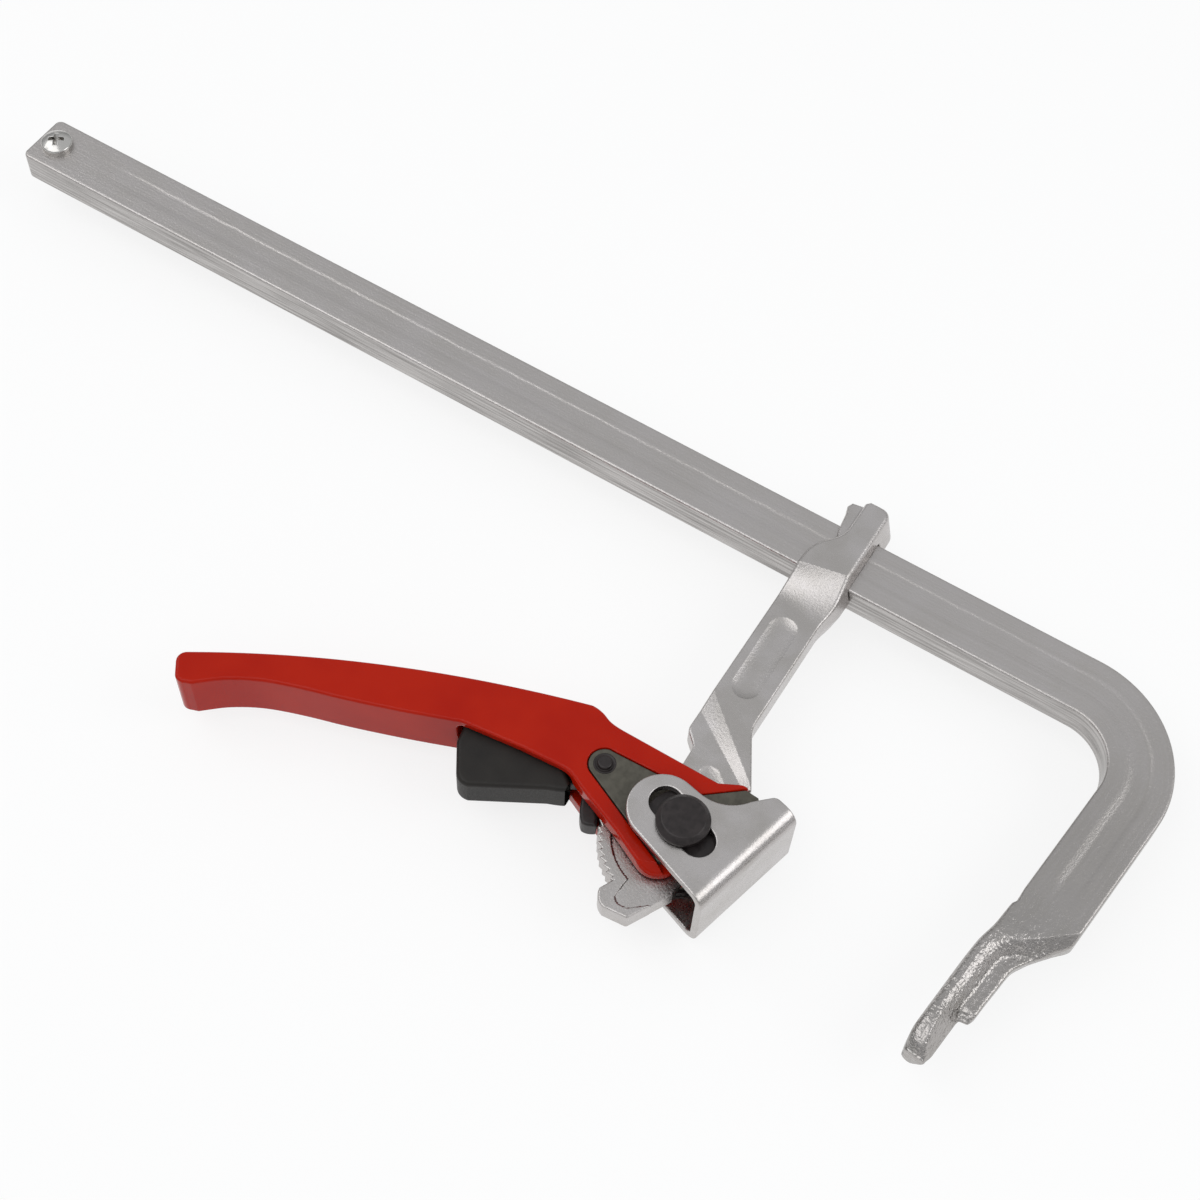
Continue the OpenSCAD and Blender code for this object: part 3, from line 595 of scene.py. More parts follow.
def rail_groove(t, from_end, length):
    """Depth of the groove, place of its far lip and width of that lip at each station. The lip's wave
    is a sum of four sines, and past the bend it is calmer, the lip wider and the groove deeper."""
    wave = WAVE_HIGH * sum(np.sin(length / long + shift) for long, shift in WAVES)
    bent = ramp(length, *LIP_BENDS)
    deeper = 1 + GROOVE_DEEPER * ramp(length, *DEEPENS)
    depth = GROOVE_D * deeper * ramp(from_end, *GROOVE_STARTS) * (1 - ramp(t, *GROOVE_STOPS))
    return depth, LIP_AT + wave * (1 - LIP_CALMER * bent), LIP_W + LIP_WIDER * bent


def rail_section(t, from_end, length):
    """Places across the bar at each station, and the heights of its upper and lower sides there.

    The upper side is a height over the distance across. On the bar it is level, with a shallow groove
    whose near lip is wide and whose far lip is narrow and a little wavy. On the forged end it is level
    up to the ridge line, then falls away in step with the distance from it, down to the rib's level.
    Both edges are rounded by a quarter circle. The lower side mirrors the upper one, but for the nose at
    the finger's tip, which falls away on the upper side. The places crowd towards the lip or the ridge.
    """
    half, ridge, rib = (smooth_knots(t, knots) for knots in (HALF_THICK, RIDGE, RIB_HALF))
    slant = (smooth_knots(t + SLANT_STEP, RIDGE) - ridge) / SLANT_STEP
    steep = smooth_knots(t, RIDGE_FALL) / np.sqrt(1 + slant ** 2)
    soft = smooth_knots(t, RIDGE_SOFT)
    groove, lip, lip_w = rail_groove(t, from_end, length)
    corner = quarter_round(END_ROUND, END_ROUND - from_end)
    blunt = quarter_round(TIP_ROUND, t - FINGER_TIP + TIP_ROUND)
    inner = smooth_knots(t, INNER_EDGE) + corner + blunt
    outer = smooth_knots(t, OUTER_EDGE) - corner - blunt
    round_in = np.minimum(smooth_knots(t, INNER_ROUND), MOST_ROUND * (outer - inner))
    round_out = smooth_knots(t, OUTER_ROUND)
    thin = (half - blunt) / half - END_THINNER * quarter_round(1, 1 - from_end)

    low, high = inner + round_in, outer - round_out
    line = lip + (np.minimum(ridge, LINE_FAR) - lip) * ramp(t, *LINE_MOVES)
    line = np.clip(line, low + LINE_ROOM[0] * (high - low), high - LINE_ROOM[1] * (high - low))
    near = 1 - np.linspace(1, 0, NEAR_N)[None, 1:] ** CROWDED
    beyond = np.linspace(0, 1, BEYOND_N)[None, 1:-1] ** CROWDED
    quarter = np.linspace(0, np.pi / 2, ROUND_N)[None]
    wall = np.linspace(0, 1, ROUND_N)[None, :-1]
    c = np.concatenate([
        inner + round_in * (1 - np.cos(quarter)),
        low + (line - low) * near,
        line + (high - line) * beyond,
        outer - round_out * (1 - np.cos(quarter[:, ::-1])),
    ], 1)

    def side(top):
        """Heights under a top level, with the rounded edges and the walls down to the mid plane."""
        dip = ramp(c, *GROOVE_SLOPE) * soft_step((lip - c) / lip_w + 0.5)
        past = c - ridge
        level = half - groove * dip - steep * (past + np.sqrt(past ** 2 + soft ** 2)) / 2
        level = joined(level, top, NOSE_SOFT)
        z = thin * (level + rib + np.sqrt((level - rib) ** 2 + RIB_SOFT)) / 2
        z[:, :ROUND_N] -= np.minimum(round_in, MOST_WALL * z[:, :1]) * (1 - np.sin(quarter))
        z[:, -ROUND_N:] -= np.minimum(round_out, MOST_WALL * z[:, -1:]) * (1 - np.sin(quarter[:, ::-1]))
        return np.concatenate([z[:, :1] * wall, z, z[:, -1:] * wall[:, ::-1]], 1)

    upper = side(half + NOSE_SOFT - smooth_knots(t, NOSE_FALL))
    lower = side(half + NOSE_SOFT)
    first, last = np.repeat(c[:, :1], ROUND_N - 1, 1), np.repeat(c[:, -1:], ROUND_N - 1, 1)
    return np.concatenate([first, c, last], 1), upper, lower


def rail_bar():
    """Rail section carried along the run, the bend and the fixed arm, with a flat face at each end. Its
    finish is laid out by the distance along the bar's middle and the distance round the section."""
    edge, across, t, from_end = rail_stations()
    length = gone(*(edge + RAIL_W / 2 * across).T)[:, None]
    c, upper, lower = rail_section(t, from_end, length)
    c = np.concatenate([c, c[:, -2:0:-1]], 1)
    z = np.concatenate([upper, -lower[:, -2:0:-1]], 1)
    n, m = c.shape
    points = np.concatenate([edge[:, None] + c[..., None] * across[:, None], z[..., None]], -1)
    loop = gone(c, z)
    loop = np.where(np.arange(m) > m // 2, loop - loop[:, -1:] - LAST_STEP, loop)
    uv = np.stack([np.broadcast_to(length, (n, m)), loop], -1).reshape(-1, 2) * MM
    caps = np.repeat(np.stack([points[0].mean(0), points[-1].mean(0)]), m, 0).reshape(2, m, 3)
    rows = np.concatenate([caps[:1], points[:1], points, points[-1:], caps[1:]]).reshape(-1, 3)
    plain = np.repeat([[uv[0, 0], CAP_V], [uv[-1, 0], CAP_V]], 2 * m, 0)
    uv = np.concatenate([plain[:2 * m], uv, plain[2 * m:]])
    faces = grid_faces(n + 4, m)
    piece("rail_bar", rows, faces, BAR, "rail", ["rail"], "plated_steel", uv=uv, crisp=60)


rail_bar()


# Stop screw

SCREW_R, BALL_R, BALL_SUNK = 6.25, 11.6, 7.65
CROSS_FLOOR, CROSS_TURN = 1.3, np.radians(-33)
CROSS_NARROW, CROSS_WIDE = (0.6, 0.1), (1.6, 0.7)  # half widths on the floor, and how they grow above it
SHANK_R, SHANK_OUT, SHANK_IN, HEAD_SUNK = 3, 0.1, 1.5, 0.02


def screw_field(x, y, z):
    """Pan head: a flat ball's cap over a short rim, less two crossed wedges that narrow downwards."""
    r = np.hypot(x, y)
    cap = np.sqrt(r * r + (z + BALL_SUNK) ** 2) - BALL_R
    head = rounded(np.maximum(r - SCREW_R, -z), cap, 0.5)
    u, v = np.moveaxis(turned(np.stack(np.broadcast_arrays(x, y), -1), CROSS_TURN), -1, 0)
    deep = z - CROSS_FLOOR
    narrow, wide = (on_floor + grows * deep for on_floor, grows in (CROSS_NARROW, CROSS_WIDE))
    first = np.maximum(np.maximum(np.abs(u) - narrow, np.abs(v) - wide), -deep)
    second = np.maximum(np.maximum(np.abs(v) - narrow, np.abs(u) - wide), -deep)
    return cut(head, np.minimum(first, second), 0.2)


def stop_screw():
    """Head on the upper side of the rail, and the shank's end on the lower one."""
    points, faces, normals = skin(screw_field, (-6.4, -6.4, -0.1), (6.4, 6.4, 4.1), 0.14)
    points = points + [*SCREW_AT, RAIL_T / 2 - HEAD_SUNK]
    rest = ZINC, "rail", ["stop_screw"], "zinc_screw"
    piece("stop_screw_head", points, faces, *rest, normals=normals)
    shank = rod(SHANK_R, -RAIL_T / 2 - SHANK_OUT, -RAIL_T / 2 + SHANK_IN)
    turned_form("stop_screw_end", eased(shank, 0.4), SCREW_AT, *rest, sides=48)


stop_screw()


# Sliding arm, drawn from the pivot

EYE_RIGHT, EYE_FAR, LUG_HALF, RAIL_GAP = 0.4, 146.2, 8, 0.4
CREASE_Y, CREASE_SLANT, CLIMB, CLIMB_GROWS, CLIMB_POWER = 113.9, 0.22, 21, 0.42, 1.8
FALL_AT, FALL_ACROSS, FALL_TOP = (-18, 46.8), (0.659, 0.752), 4.4
FALL_LONG, FALL_SHORT, FALL_TAPER = 6.8, 1.8, 0.13
DRAFT, DRAFT_UP, DRAFT_OUT = 0.25, (93, 12), (-9, 8)
ARM_OVAL, ARM_OVAL_DEEP = ((-10, 86.2), (-9.6, 60.2), 5.2), 1.1
TANG_OVAL, TANG_OVAL_DEEP = ((-3.5, 24.5), (4, 18.5), 3.8), 0.65

FORGING = drawn(
    [(-8, EYE_FAR)],
    sweep_to((EYE_RIGHT - 4.2, EYE_FAR), (EYE_RIGHT, EYE_FAR), (EYE_RIGHT, EYE_FAR - 4.6), 8),
    sweep_to((EYE_RIGHT, 116), (EYE_RIGHT, 110), (0.1, 101), 5),
    [(0.2, 60)],
    sweep_to((0.2, 50), (0.2, 47), (1.6, 44.4), 6),
    [(11.3, 27), (9, 20), (8, 0), (-8, 0), (-13.2, 23.5)],
    sweep_to((-13.4, 29.4), (-13.4, 31.2), (-14.8, 32.5), 5),
    sweep_to((-17.2, 34.8), (-18.4, 36), (-18.4, 38), 5),
    [(-18.4, 100), (-18.1, 110)],
    sweep_to((-17.8, 115), (-17.4, 119.6), (-13.4, 124.2)),
    sweep_to((-13.4, 124.2), (-9.6, 127.8), (-9.4, 133))[1:],
    [(-9.4, 144.6)],
)
FAR_LUG = drawn([
    (-9, 127), (-12, 128.4), (-13.2, 132.4), (-14.1, 139.4), (-15.1, 142.8), (-14.2, 144.9),
    (-10.3, 145.6), (-5, 145.6), (-5, 127),
])
ROOTS = TOOTH_FIRST + TOOTH_STEP * np.arange(TOOTH_N)[:, None]
RATCHET = drawn(
    [(0, 0)],
    arc((0, 0), TOOTH_R, 119, TOOTH_FIRST),
    np.concatenate([polar(TOOTH_R - TOOTH_DEEP, ROOTS), polar(TOOTH_R, ROOTS + 0.6)], 1).reshape(-1, 2),
    polar(TOOTH_R - TOOTH_DEEP, TOOTH_FIRST + TOOTH_N * TOOTH_STEP),
    [(-6, -23)],
)
FOOT = drawn(
    [(-6, -20), polar(TOOTH_R - 1, 246), (-13.1, -28.8)],
    sweep_to((-12.9, -30), (-11.7, -33.2), (-8.8, -34), 7),
    [(-1, -33.2)],
    sweep_to((-0.8, -33.2), (-0.2, -33.1), (0.1, -32.6), 4),
    [(7.9, -18), (7.5, 0), (0, 0)],
)
DISC = drawn(
    arc((0, 0), 22.5, 70, 252, 30),
    [(-7.2, -24), (-7.4, -28)],
    sweep_to((-7.3, -28.8), (-6.2, -30.6), (-4.4, -30.4), 6),
    [(-2, -30.2), (14, -16.6), (14, 18)],
)


def eye_climb(x, y):
    """Share of the rise from the arm to the eye: the distance up to the crisp line over the climb's
    length, which grows to the right, to a power."""
    before = y - CREASE_Y - CREASE_SLANT * x
    return np.clip(before / (CLIMB + CLIMB_GROWS * x) + 1, 0, 1) ** CLIMB_POWER


def tang_fall(x, y):
    """Share of the arm's thickness over the tang's: a straight fall square to a slanted line, which
    gets shorter along that line."""
    right, up = x - FALL_AT[0], y - FALL_AT[1]
    past = right * FALL_ACROSS[0] + up * FALL_ACROSS[1] - FALL_TOP
    along = right * FALL_ACROSS[1] - up * FALL_ACROSS[0]
    return np.clip(past / np.clip(FALL_LONG - FALL_TAPER * along, FALL_SHORT, FALL_LONG) + 1, 0, 1)


def dished(x, y, first, last, r):
    """Share of an oval hollow's depth: a parabola from 0 at its rim to 1 on its middle line."""
    share = np.clip(-oval_field(x, y, first, last, r) / r, 0, 1)
    return share * (2 - share)


def arm_field(x, y, z):
    """Forged arm: one plan whose half thickness drops by a slope to the tang, is hollowed by two
    dished ovals, and climbs to the eye up to a crisp line; the eye's flank leans out towards the mid
    plane. Joined to it are the lug behind the rail and the toothed rim and foot, flat plates all; cut
    from it are the rail's hole, the shallow disc inside the rim and the pin's bore."""
    deep = np.abs(z)
    climb = eye_climb(x, y)
    half = TANG + (ARM - TANG) * tang_fall(x, y) + (EYE - ARM) * climb
    half = half - ARM_OVAL_DEEP * dished(x, y, *ARM_OVAL) - TANG_OVAL_DEEP * dished(x, y, *TANG_OVAL)
    draft = DRAFT * (EYE - deep) * ramp(y, *DRAFT_UP) * ramp(x, *DRAFT_OUT)
    body = rounded(outline_field(x - draft, y, FORGING), deep - half, 0.9 + 0.6 * climb)
    lug = rounded(outline_field(x, y, FAR_LUG), deep - LUG_HALF, 1.2)
    body = joined(body, lug, 1.6)
    off_mid = np.abs(y + PIVOT[1] - RAIL_MID)
    hole = rounded(off_mid - RAIL_W / 2 - RAIL_GAP, deep - RAIL_T / 2 - RAIL_GAP, 1.2)
    body = cut(body, hole, 0.7)
    rim = rounded(outline_field(x, y, RATCHET), deep - TANG, 0.4)
    foot = rounded(outline_field(x, y, FOOT), deep - TANG, 0.6)
    body = np.minimum(np.minimum(body, rim), foot)
    body = cut(body, np.maximum(outline_field(x, y, DISC), RECESS - deep), 0.3)
    return np.maximum(body, -round_field(x, y, (0, 0), PIN_R))


shell("forged_arm", arm_field, (-28, -34.5, -12.1), (11.6, 146.7, 12.1), 0.4,
      STEEL, "sliding_arm", ["sliding_arm"], "plated_steel")


# Pins, washers and sleeves on the pivot

HEAD_BEVEL, CAP_BORE = 1.8, 4.6
PIN_END, CAP_END = 1.6 - HEAD_OUT, 0.3 - HEAD_OUT
BUTTON = [
    (0, PIN_END), (PIN_R, PIN_END), (PIN_R, HEAD_IN), (HEAD_R, HEAD_IN),
    (HEAD_R, HEAD_OUT - HEAD_BEVEL), (HEAD_R - HEAD_BEVEL, HEAD_OUT), (0, HEAD_OUT),
]
CAP = [
    (0, CAP_END), (CAP_BORE - 0.4, CAP_END), (CAP_BORE, -HEAD_OUT), (HEAD_R - HEAD_BEVEL, -HEAD_OUT),
    (HEAD_R, -HEAD_OUT + HEAD_BEVEL), (HEAD_R, -HEAD_IN), (CAP_BORE, -HEAD_IN), (0, -HEAD_IN),
]
RINGS = (
    ("washer_", "spacer_washer_", "sliding_arm", WASHER_R, CHEEK + STACK_GAP, FLANGE_IN - 2 * STACK_GAP),
    ("sleeve_", "slot_sleeve_", "slot_sleeves", SLEEVE_R, FLANGE_IN - STACK_GAP, FLANGE_OUT + STACK_GAP),
)


def ring(name, outside, low, high, body, node):
    """Flat ring round the pivot: a rectangle with eased corners carried round the pin."""
    box = np.array([(PIN_BORE, low), (outside, low), (outside, high), (PIN_BORE, high)])
    runs = eased(np.concatenate([box, box[:2]]), 0.25)[1:-1]
    keep = np.linalg.norm(runs - np.roll(runs, 1, 0), axis=1) > 1e-6
    turned_form(name, runs[keep], PIVOT, OXIDE, body, [node], "black_oxide", closed=True)


for name, profile, node in (("pivot_button", BUTTON, "pivot_pin"), ("pivot_cap", CAP, "pivot_pin_cap")):
    turned_form(name, eased(profile, 0.4), PIVOT, OXIDE, "sliding_arm", [node], "black_oxide")
for ring_name, ring_node, ring_body, ring_r, near, far in RINGS:
    for side, place, level in SIDES:
        low, high = sorted((side * near, side * far))
        ring(ring_name + place, ring_r, low, high, ring_body, ring_node + level)


# Lever

LEVER_END, END_OUT = np.array([-169.3, -38.0]), polar(1.4, 213)
END_TOP = LEVER_END + polar(2.7, 126) + END_OUT
END_LOW = LEVER_END + polar(2.2, -60) + END_OUT
KNEE, BEAK = np.array([-48.6, 23.2]), np.array([10.9, 24.7])
BAND_Y, TOP_LOBE_R = 20.8, 12.5
LOW_LOBE_AT, LOW_LOBE_R = (-3, -9.8), 8.2
GRIP = [
    (-165.5, -42.9), (-157.2, -35.7), (-146.9, -29.6), (-134.5, -24.8), (-120, -20.2), (-100, -13.1),
    (-81.4, -5.8),
]
GRIP_X = np.linspace(-81.4, -165.4, 44)
LEVER = drawn(
    sweep_to(LEVER_END + polar(6.2, 126), (-118, 2.5), KNEE, 40),
    sweep_to((-48, 23.3), (-44.6, 23.4), (-41.6, 21.9), 8),
    sweep_to((-41.4, 21.8), (-39.2, BAND_Y), (-35, BAND_Y), 6),
    [(1.5, BAND_Y + 0.3)],
    sweep_to((7.4, BEAK[1] - 0.4), (9.6, BEAK[1] + 0.7), BEAK, 6),
    sweep_to(BEAK, (11.2, 23.8), (9.6, 23.1), 5)[1:],
    arc((0, 0), TOP_LOBE_R, 90, -60, 24),
    arc(LOW_LOBE_AT, LOW_LOBE_R, -10, -118, 20),
    [(-18.3, -11.6), (-34.3, -5.3)],
    sweep_to((-40, -2.7), (-42.5, -1.6), (-46, -1.9), 6),
    [(-60, -3)],
    np.stack([GRIP_X, smooth_knots(GRIP_X, GRIP)], 1),
    arc(END_LOW, 3.4, -60, -147, 10),
    arc(END_TOP, 3.5, -147, -234, 10),
)
CAM_TOP = np.array([PAWL_AT + [-0.5, 5.2], (-1.5, 13.6), (10.6, 23.6)])
CAM_LOW, CAM_END_R, SEAT_END_R = np.array([-1.0, -13.6]), 5.4, 5.8
POCKET_HALF, POCKET_LEFT = 7.1, PAWL_AT[0] - 49.6
POCKET_RIGHT, SLOT_LEFT = PAWL_AT[0] - 6.8, PAWL_AT[0] - 6.9
POCKET = drawn([(POCKET_LEFT, -60), (POCKET_LEFT, 7.4), (POCKET_RIGHT, 15.8), (POCKET_RIGHT, -60)])
CHEEK_SLOT = drawn([(-27.5, 60), (60, 60), (60, -60), (SLOT_LEFT, -60), (SLOT_LEFT, 14.5), (-27.5, 14.5)])
CAM_SEAT = drawn(
    CAM_TOP + [0, 0.4],
    [(40, 40), (40, -30), CAM_LOW + [6, -2.8], CAM_LOW - [0, 0.4], PAWL_AT + polar(SEAT_END_R, 250)],
    arc(PAWL_AT, SEAT_END_R, 240, 100, 16),
)
BEVEL_AT, BEVEL_FACING, BEVEL_STEEP, BEVEL_LONG = (-8, -17.3), (0.407, -0.913), 0.8, 5


def bored(body, x, y):
    """A form without the bores for the pivot's pin and the pawl's pin."""
    bores = np.minimum(round_field(x, y, (0, 0), PIN_BORE), round_field(x, y, PAWL_AT, RIVET_BORE))
    return np.maximum(body, -bores)


def lever_field(x, y, z):
    """Lever: its plan with rounded edges and a bevel at its low end, less the trigger's pocket, the
    slot between the cheeks, the seats of the cam plates and the bores."""
    deep = np.abs(z)
    past = (x - BEVEL_AT[0]) * BEVEL_FACING[0] + (y - BEVEL_AT[1]) * BEVEL_FACING[1]
    bevel = BEVEL_STEEP * np.clip(past, 0, BEVEL_LONG)
    body = rounded(outline_field(x, y, LEVER), deep - CHEEK + bevel, 1.1)
    pocket = rounded(outline_field(x, y, POCKET), deep - POCKET_HALF, 2.2)
    slot = np.maximum(outline_field(x, y, CHEEK_SLOT), deep - SLOT_HALF)
    seat = np.maximum(outline_field(x, y, CAM_SEAT), CAM_FLOOR - deep)
    return bored(cut(cut(cut(body, pocket, 0.7), slot, 0.7), seat, 0.45), x, y)


shell("lever_body", lever_field, (-175.6, -44.3, -10.6), (11.5, 25.6, 10.6), 0.5,
      PAINT, "lever", ["handle"], "red_paint")


# Cam plates and the pawl's pin

# The cam's radius where it faces the plate, its rise in a radian, and the plate's turn in degrees
CAM_R, CAM_RISE, PLATE_TURN = 19.2, 8.0, 14.2
TURN = np.arange(40.0, -53, -3)
CAM = drawn(
    CAM_TOP,
    polar(CAM_R + CAM_RISE * np.radians(TURN + PLATE_TURN), TURN) + polar(CAM_RISE, TURN + 90),
    [CAM_LOW, PAWL_AT + polar(CAM_END_R, 250)],
    arc(PAWL_AT, CAM_END_R, 240, 100, 16),
)
# The rivet's low flange reaches out to 3.9 so that its black ring stands in for the shadow round the head:
# painted shade on a real rivet.
RIVET_END = [(3.9, 0), (3.6, 0.35), (2.9, 0.1), (2.6, 0.1), (2.45, 1.1), (2.0, 1.4), (0, 1.4)]
RIVET_HALF = [(RIVET_R, CAM_FACE)] + [(r, CAM_FACE + h) for r, h in RIVET_END]
RIVET = [(r, -h) for r, h in RIVET_HALF[::-1]] + RIVET_HALF


def cam_field(side):
    """Cam plate on one side: its plan, between its two faces, with eased edges and two bores."""
    def field(x, y, z):
        level = np.abs(side * z - CAM_FLOOR - CAM_T / 2) - CAM_T / 2
        return bored(rounded(outline_field(x, y, CAM), level, 0.35), x, y)
    return field


for side, _, level in SIDES:
    low, high = sorted((side * CAM_FLOOR, side * CAM_FACE))
    shell("cam_" + level, cam_field(side), (-39, -17, low), (22, 24, high), 0.36,
          CAM_STEEL, "lever", ["cam_plate_" + level], "dark_steel")
turned_form("pawl_rivet", eased(RIVET, 0.3), PIVOT + PAWL_AT,
            OXIDE, "lever", ["pawl_pin"], "black_oxide", sides=48)


# Pawl, trigger and spring

TIP_R = TOOTH_R + 0.45
NOSE_HALF, TAIL_HALF, TRIGGER_HALF, TAIL_SLOT_HALF = 3.9, 2, 6.6, 2.02
NOSE = drawn(
    PAWL_AT + polar(HUB_R, 190),
    sweep_to(polar(TIP_R + 7.4, 188), polar(TIP_R + 6.8, 197), polar(TIP_R + 5, 202.4), 8),
    sweep_to(polar(TIP_R + 4.6, 203), polar(TIP_R + 3, 204.6), polar(TIP_R, 203.4), 5),
    arc((0, 0), TIP_R, 202.8, 198, 4),
    polar(TIP_R + 1.2, 193),
    PAWL_AT + polar(HUB_R, -20),
)
TAIL = PAWL_AT + drawn([
    (0, HUB_R), (-10.6, -4.3), (-32.6, -10.3), (-32.6, -18.3), (-10.6, -10.3), (0, -HUB_R),
])
TRIGGER = PAWL_AT + drawn(
    [(-48, -11.3)],
    sweep_to((-47, -16.6), (-46.8, -17.6), (-46.3, -18.4), 4),
    sweep_to((-40.6, -27.2), (-38.6, -30.2), (-34.8, -29.4), 8),
    sweep_to((-12, -16.2), (-5.4, -13.6), (-4.7, -12), 8),
    [(-8, -9.2)],
    sweep_to((-10, -7.8), (-18, -2.6), (-36.6, -5.2), 12),
    [(-48, -8.8)],
)
TAIL_SLOT = PAWL_AT + drawn([
    (-6.6, 1.2), (-10.6, -4.2), (-32.7, -10.2), (-32.7, -18.4), (-10.6, -10.4), (-6.6, -9.8),
])
CROSS_PIN_LOW, CROSS_PIN_HIGH = -6.4, 5.4
CROSS_PIN = rod(CROSS_PIN_R, CROSS_PIN_LOW, CROSS_PIN_HIGH)
SPRING_X, SPRING_LOW, SPRING_HIGH, SPRING_WELL_R = TAIL_AT[0], 0.6, 13.0, 3.5
SPRING_TURNS, SPRING_R, WIRE_R, WIRE_SIDES, SPRING_END = 5, 2.55, 0.45, 12, 0.6


def pawl_field(x, y, z):
    """Pawl: a round hub, a blunt nose and a thin tail, each a plate with eased edges, less the bores of
    its two pins."""
    deep = np.abs(z)
    hub = rounded(round_field(x, y, PAWL_AT, HUB_R), deep - TANG, 0.3)
    nose = rounded(outline_field(x, y, NOSE), deep - NOSE_HALF, 1.0)
    tail = rounded(outline_field(x, y, TAIL), deep - TAIL_HALF, 0.3)
    body = np.minimum(joined(hub, nose, 0.6), tail)
    pin = round_field(x, y, TAIL_AT, CROSS_PIN_BORE)
    return np.maximum(body, -np.minimum(round_field(x, y, PAWL_AT, HUB_BORE), pin))


def trigger_field(x, y, z):
    """Trigger: its plan with rounded edges, less the slot for the pawl's tail, the pin's bore from
    below and the spring's seat."""
    deep = np.abs(z)
    body = rounded(outline_field(x, y, TRIGGER), deep - TRIGGER_HALF, 1.6)
    slot = np.maximum(outline_field(x, y, TAIL_SLOT), deep - TAIL_SLOT_HALF)
    well = np.maximum(np.hypot(x - SPRING_X, z) - SPRING_WELL_R, SPRING_LOW - y)
    pin = np.maximum(round_field(x, y, TAIL_AT, CROSS_PIN_BORE), z - CROSS_PIN_HIGH - 0.02)
    return np.maximum(cut(cut(body, slot, 0.3), well, 0.3), -pin)


def return_spring():
    """Round wire carried up a helix: each ring of points circles the helix at its own angle, with
    one direction away from the spring's axis and one along it."""
    along = np.linspace(0, 1, 40 * SPRING_TURNS + 1)[:, None]
    a = 2 * np.pi * SPRING_TURNS * along
    b = np.linspace(0, 2 * np.pi, WIRE_SIDES, endpoint=False)[None]
    rise = SPRING_HIGH - SPRING_LOW - 2 * SPRING_END
    r = SPRING_R + WIRE_R * np.cos(b)
    y = SPRING_LOW + SPRING_END + rise * along + WIRE_R * np.sin(b)
    points = np.stack([SPRING_X + r * np.cos(a), y, r * np.sin(a)], -1)
    ends = np.repeat(points[[0, -1]].mean(1, keepdims=True), WIRE_SIDES, 1)
    rows = np.concatenate([ends[:1], points, ends[1:]]).reshape(-1, 3)
    rows[:, :2] += PIVOT
    wire_mesh = piece("return_spring", rows, grid_faces(len(along) + 2, WIRE_SIDES), ZINC, None,
                      ["trigger_spring"], "spring_steel", crisp=50)
    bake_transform(wire_mesh)


shell("pawl_hook", pawl_field, (-66.5, -16, -4.1), (-22, 13, 4.1), 0.36,
      OXIDE, "trigger", ["pawl"], "black_oxide")
shell("trigger_pad", trigger_field, (-81.8, -24, -6.7), (-40.8, 4, 6.7), 0.4,
      PLASTIC, "trigger", ["trigger"], "black_plastic")
turned_form("trigger_cross_pin", eased(CROSS_PIN, 0.25), PIVOT + TAIL_AT,
            OXIDE, "trigger", ["trigger_pin"], "black_oxide", sides=32)
return_spring()


# Pressure bracket, in its slot's frame and its plate's frame

PLATE, PLATE_UP, BEND = 24.2, 28.6, 5.6
PAST_PLATE = PLATE + 6
HOLLOW_AT, HOLLOW_R = (PLATE - 28.4, PLATE_UP - 2.2), 15
HORN_AT, HORN_R = (PLATE - 8.2, PLATE_UP - 2.8), 2.8
FAR_EDGE = np.concatenate([
    arc(HOLLOW_AT, HOLLOW_R, 272, 340, 16), arc(HORN_AT, HORN_R, 153, 90, 7), [(PAST_PLATE, PLATE_UP)],
])
FLANGE = drawn(arc((-7.7, -1.9), 12.1, 268, 98, 30), turned(FAR_EDGE, SKEW), [(PAST_PLATE, -12.6)])
LONG_SLOT = (-8.8, 0), (8, 0), 5.55


def bracket_field(x, y, z):
    """Bent sheet: the space between two round-cornered channels a sheet apart, where the flange's
    plan covers it, with eased edges, less the long slot."""
    c, s = np.cos(TILT), np.sin(TILT)
    u, v = x * c + y * s, y * c - x * s
    out = u * np.cos(SKEW) + v * np.sin(SKEW)
    deep = np.abs(z)
    outer = rounded(out - PLATE, deep - FLANGE_OUT, BEND)
    inner = rounded(out - PLATE + SHEET, deep - FLANGE_IN, BEND - SHEET)
    sheet = np.maximum(outer, -inner)
    body = rounded(sheet, outline_field(u, v, FLANGE), 0.5)
    return cut(body, oval_field(u, v, *LONG_SLOT), 0.6)


shell("bent_bracket", bracket_field, (-20.8, -23.5, -16.4), (31.5, 25.4, 16.4), 0.42,
      SHEET_STEEL, "bracket", ["pressure_bracket"], "plated_steel")


# Floor, light and camera, in metres

FLOOR_REACH, FLOOR_RIM, FLOOR_N, FLOOR_GLOW = 30.0, 1.8, 25, 0.8
SKY, SKY_LOW, SKY_HIGH, SKY_FROM, SKY_TO = (0.97, 0.985, 1.0, 1), 0.3, 0.71, 0.1, 0.55


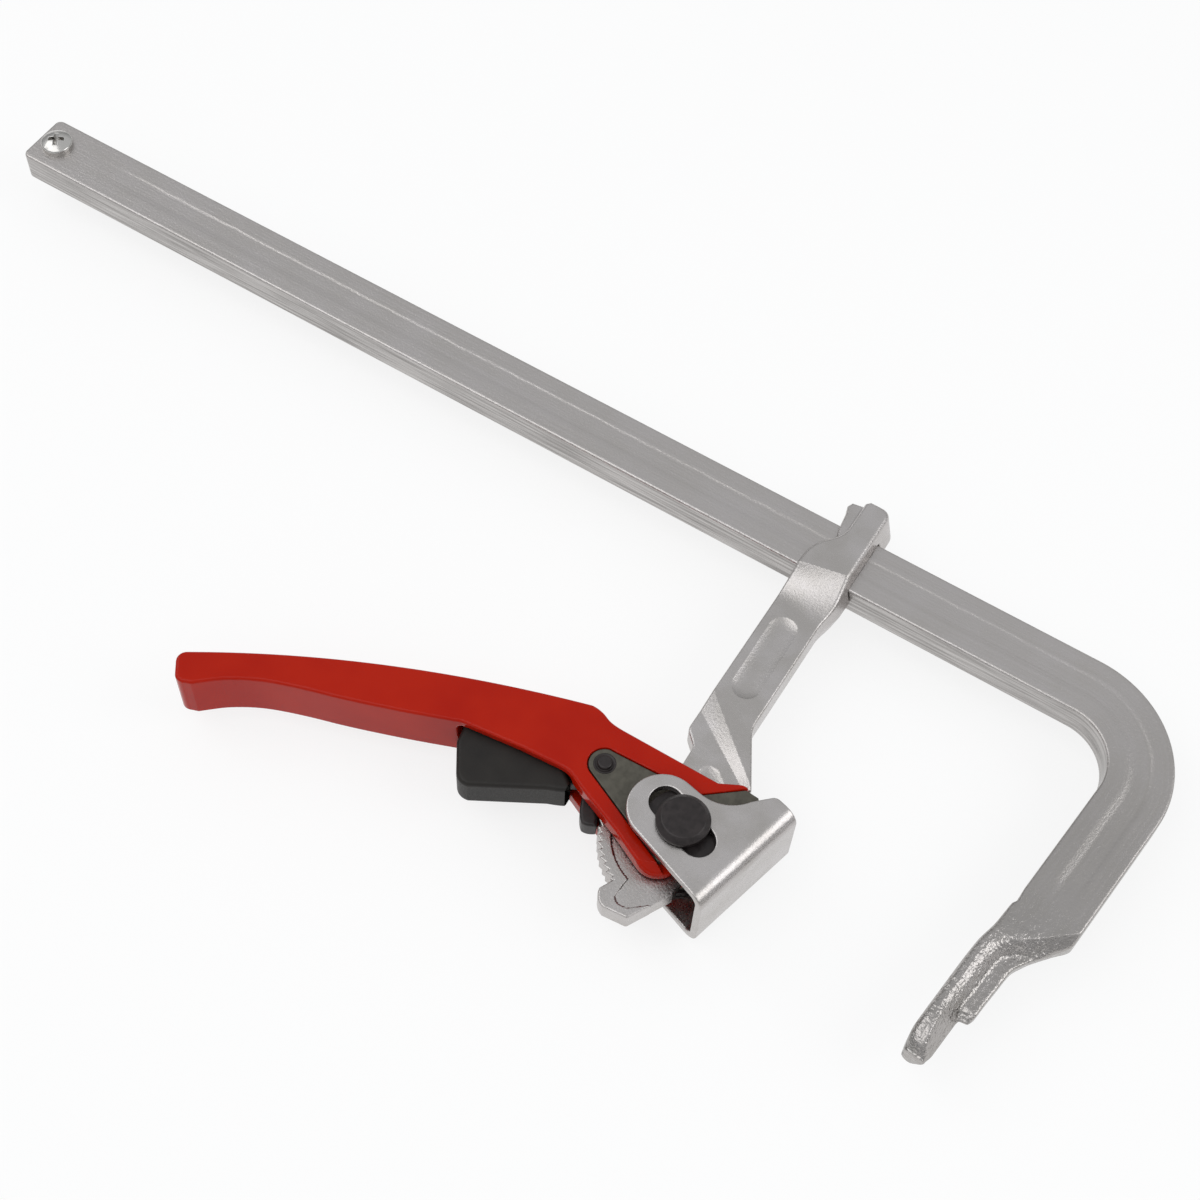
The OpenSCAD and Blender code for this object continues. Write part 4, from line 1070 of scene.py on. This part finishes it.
def floor():
    """Wide white sheet just under the lowest point of the object, which turns up at its rim: its height
    is a soft step of the distance from the middle. To the camera and in reflections it glows by itself for
    the most part, and the rest of it takes the object's shadow."""
    x = np.linspace(-FLOOR_REACH, FLOOR_REACH, FLOOR_N)
    rise = FLOOR_RIM * soft_step(2 * np.hypot(x[:, None], x) / FLOOR_REACH - 1)
    points = np.stack(np.broadcast_arrays(x[:, None], x, cad_box[0][2] + rise), -1).reshape(-1, 3)
    cell = np.arange(FLOOR_N - 1)
    corner = cell[:, None] * FLOOR_N + cell
    faces = np.stack([corner, corner + FLOOR_N, corner + FLOOR_N + 1, corner + 1], -1).reshape(-1, 4)
    mesh = bpy.data.meshes.new("floor")
    mesh.from_pydata(points.tolist(), [], faces.tolist())
    obj = bpy.data.objects.new("floor", mesh)
    scene.collection.objects.link(obj)
    mat, tree, shader = finish_of("white_sheet", (0.93, 0.93, 0.93, 1), 0.0, 0.9, specular=0.0)
    glow = made(tree, "Emission", {"Strength": 1.0})[0]
    path = made(tree, "LightPath", {})
    seen = worked(tree, "ADD", path["Is Camera Ray"], path["Is Glossy Ray"])
    seen = worked(tree, "ADD", seen, path["Is Transmission Ray"])
    share = ranged(tree, seen, 0, FLOOR_GLOW, 0, 1)
    both = made(tree, "MixShader", {0: share, 1: shader.outputs[0], 2: glow})[0]
    tree.links.new(both, tree.nodes["Material Output"].inputs["Surface"])
    mesh.materials.append(mat)


def sky():
    """Pale light from all round, whose strength rises with the height that it comes from."""
    world = bpy.data.worlds.new("studio")
    scene.world = world
    world.use_nodes = True
    tree = world.node_tree
    background = tree.nodes["Background"]
    background.inputs["Color"].default_value = SKY
    height = made(tree, "SeparateXYZ", {0: made(tree, "TexCoord", {})["Generated"]})["Z"]
    strength = ranged(tree, height, SKY_LOW, SKY_HIGH, SKY_FROM, SKY_TO)
    tree.links.new(strength, background.inputs["Strength"])


def softbox(name, place, aim, wide, tall, power):
    """Flat lamp at a place, in metres, facing a point."""
    lamp = bpy.data.lights.new(name, "AREA")
    lamp.shape = "RECTANGLE"
    lamp.size, lamp.size_y, lamp.energy = wide, tall, power
    obj = bpy.data.objects.new(name, lamp)
    place, aim = np.array(place, float), np.array(aim, float)
    back = (place - aim) / np.linalg.norm(place - aim)
    side = np.cross([0.0, 0.0, 1.0], back)
    side /= np.linalg.norm(side)
    axes = np.stack([side, np.cross(back, side), back, place], 1)
    obj.matrix_world = Matrix(np.vstack([axes, [0, 0, 0, 1]]).tolist())
    scene.collection.objects.link(obj)


def camera():
    """Camera of the photograph: its right, up and backward directions, and its place, as columns."""
    lens = bpy.data.cameras.new("camera")
    lens.lens, lens.sensor_width, lens.clip_start = 60, 36, 0.01
    view = bpy.data.objects.new("camera", lens)
    view.matrix_world = Matrix((
        (0.8489, -0.4663, 0.2490, 0.0091),
        (0.5275, 0.7164, -0.4566, -0.2509),
        (0.0346, 0.5189, 0.8541, 0.5990),
        (0, 0, 0, 1),
    ))
    scene.collection.objects.link(view)
    scene.camera = view


floor()
sky()
softbox("front", (-0.55, -0.5, 1.42), (-0.2, 0.05, 0), 1.35, 1.1, 5.4)
softbox("left", (-1.2, 0.05, 1.0), (-0.2, 0.05, 0), 0.6, 0.6, 1.5)
softbox("right", (1.0, 0.4, 0.88), (-0.1, 0.05, 0), 0.9, 0.9, 4.5)
camera()
scene.view_settings.view_transform = "Standard"
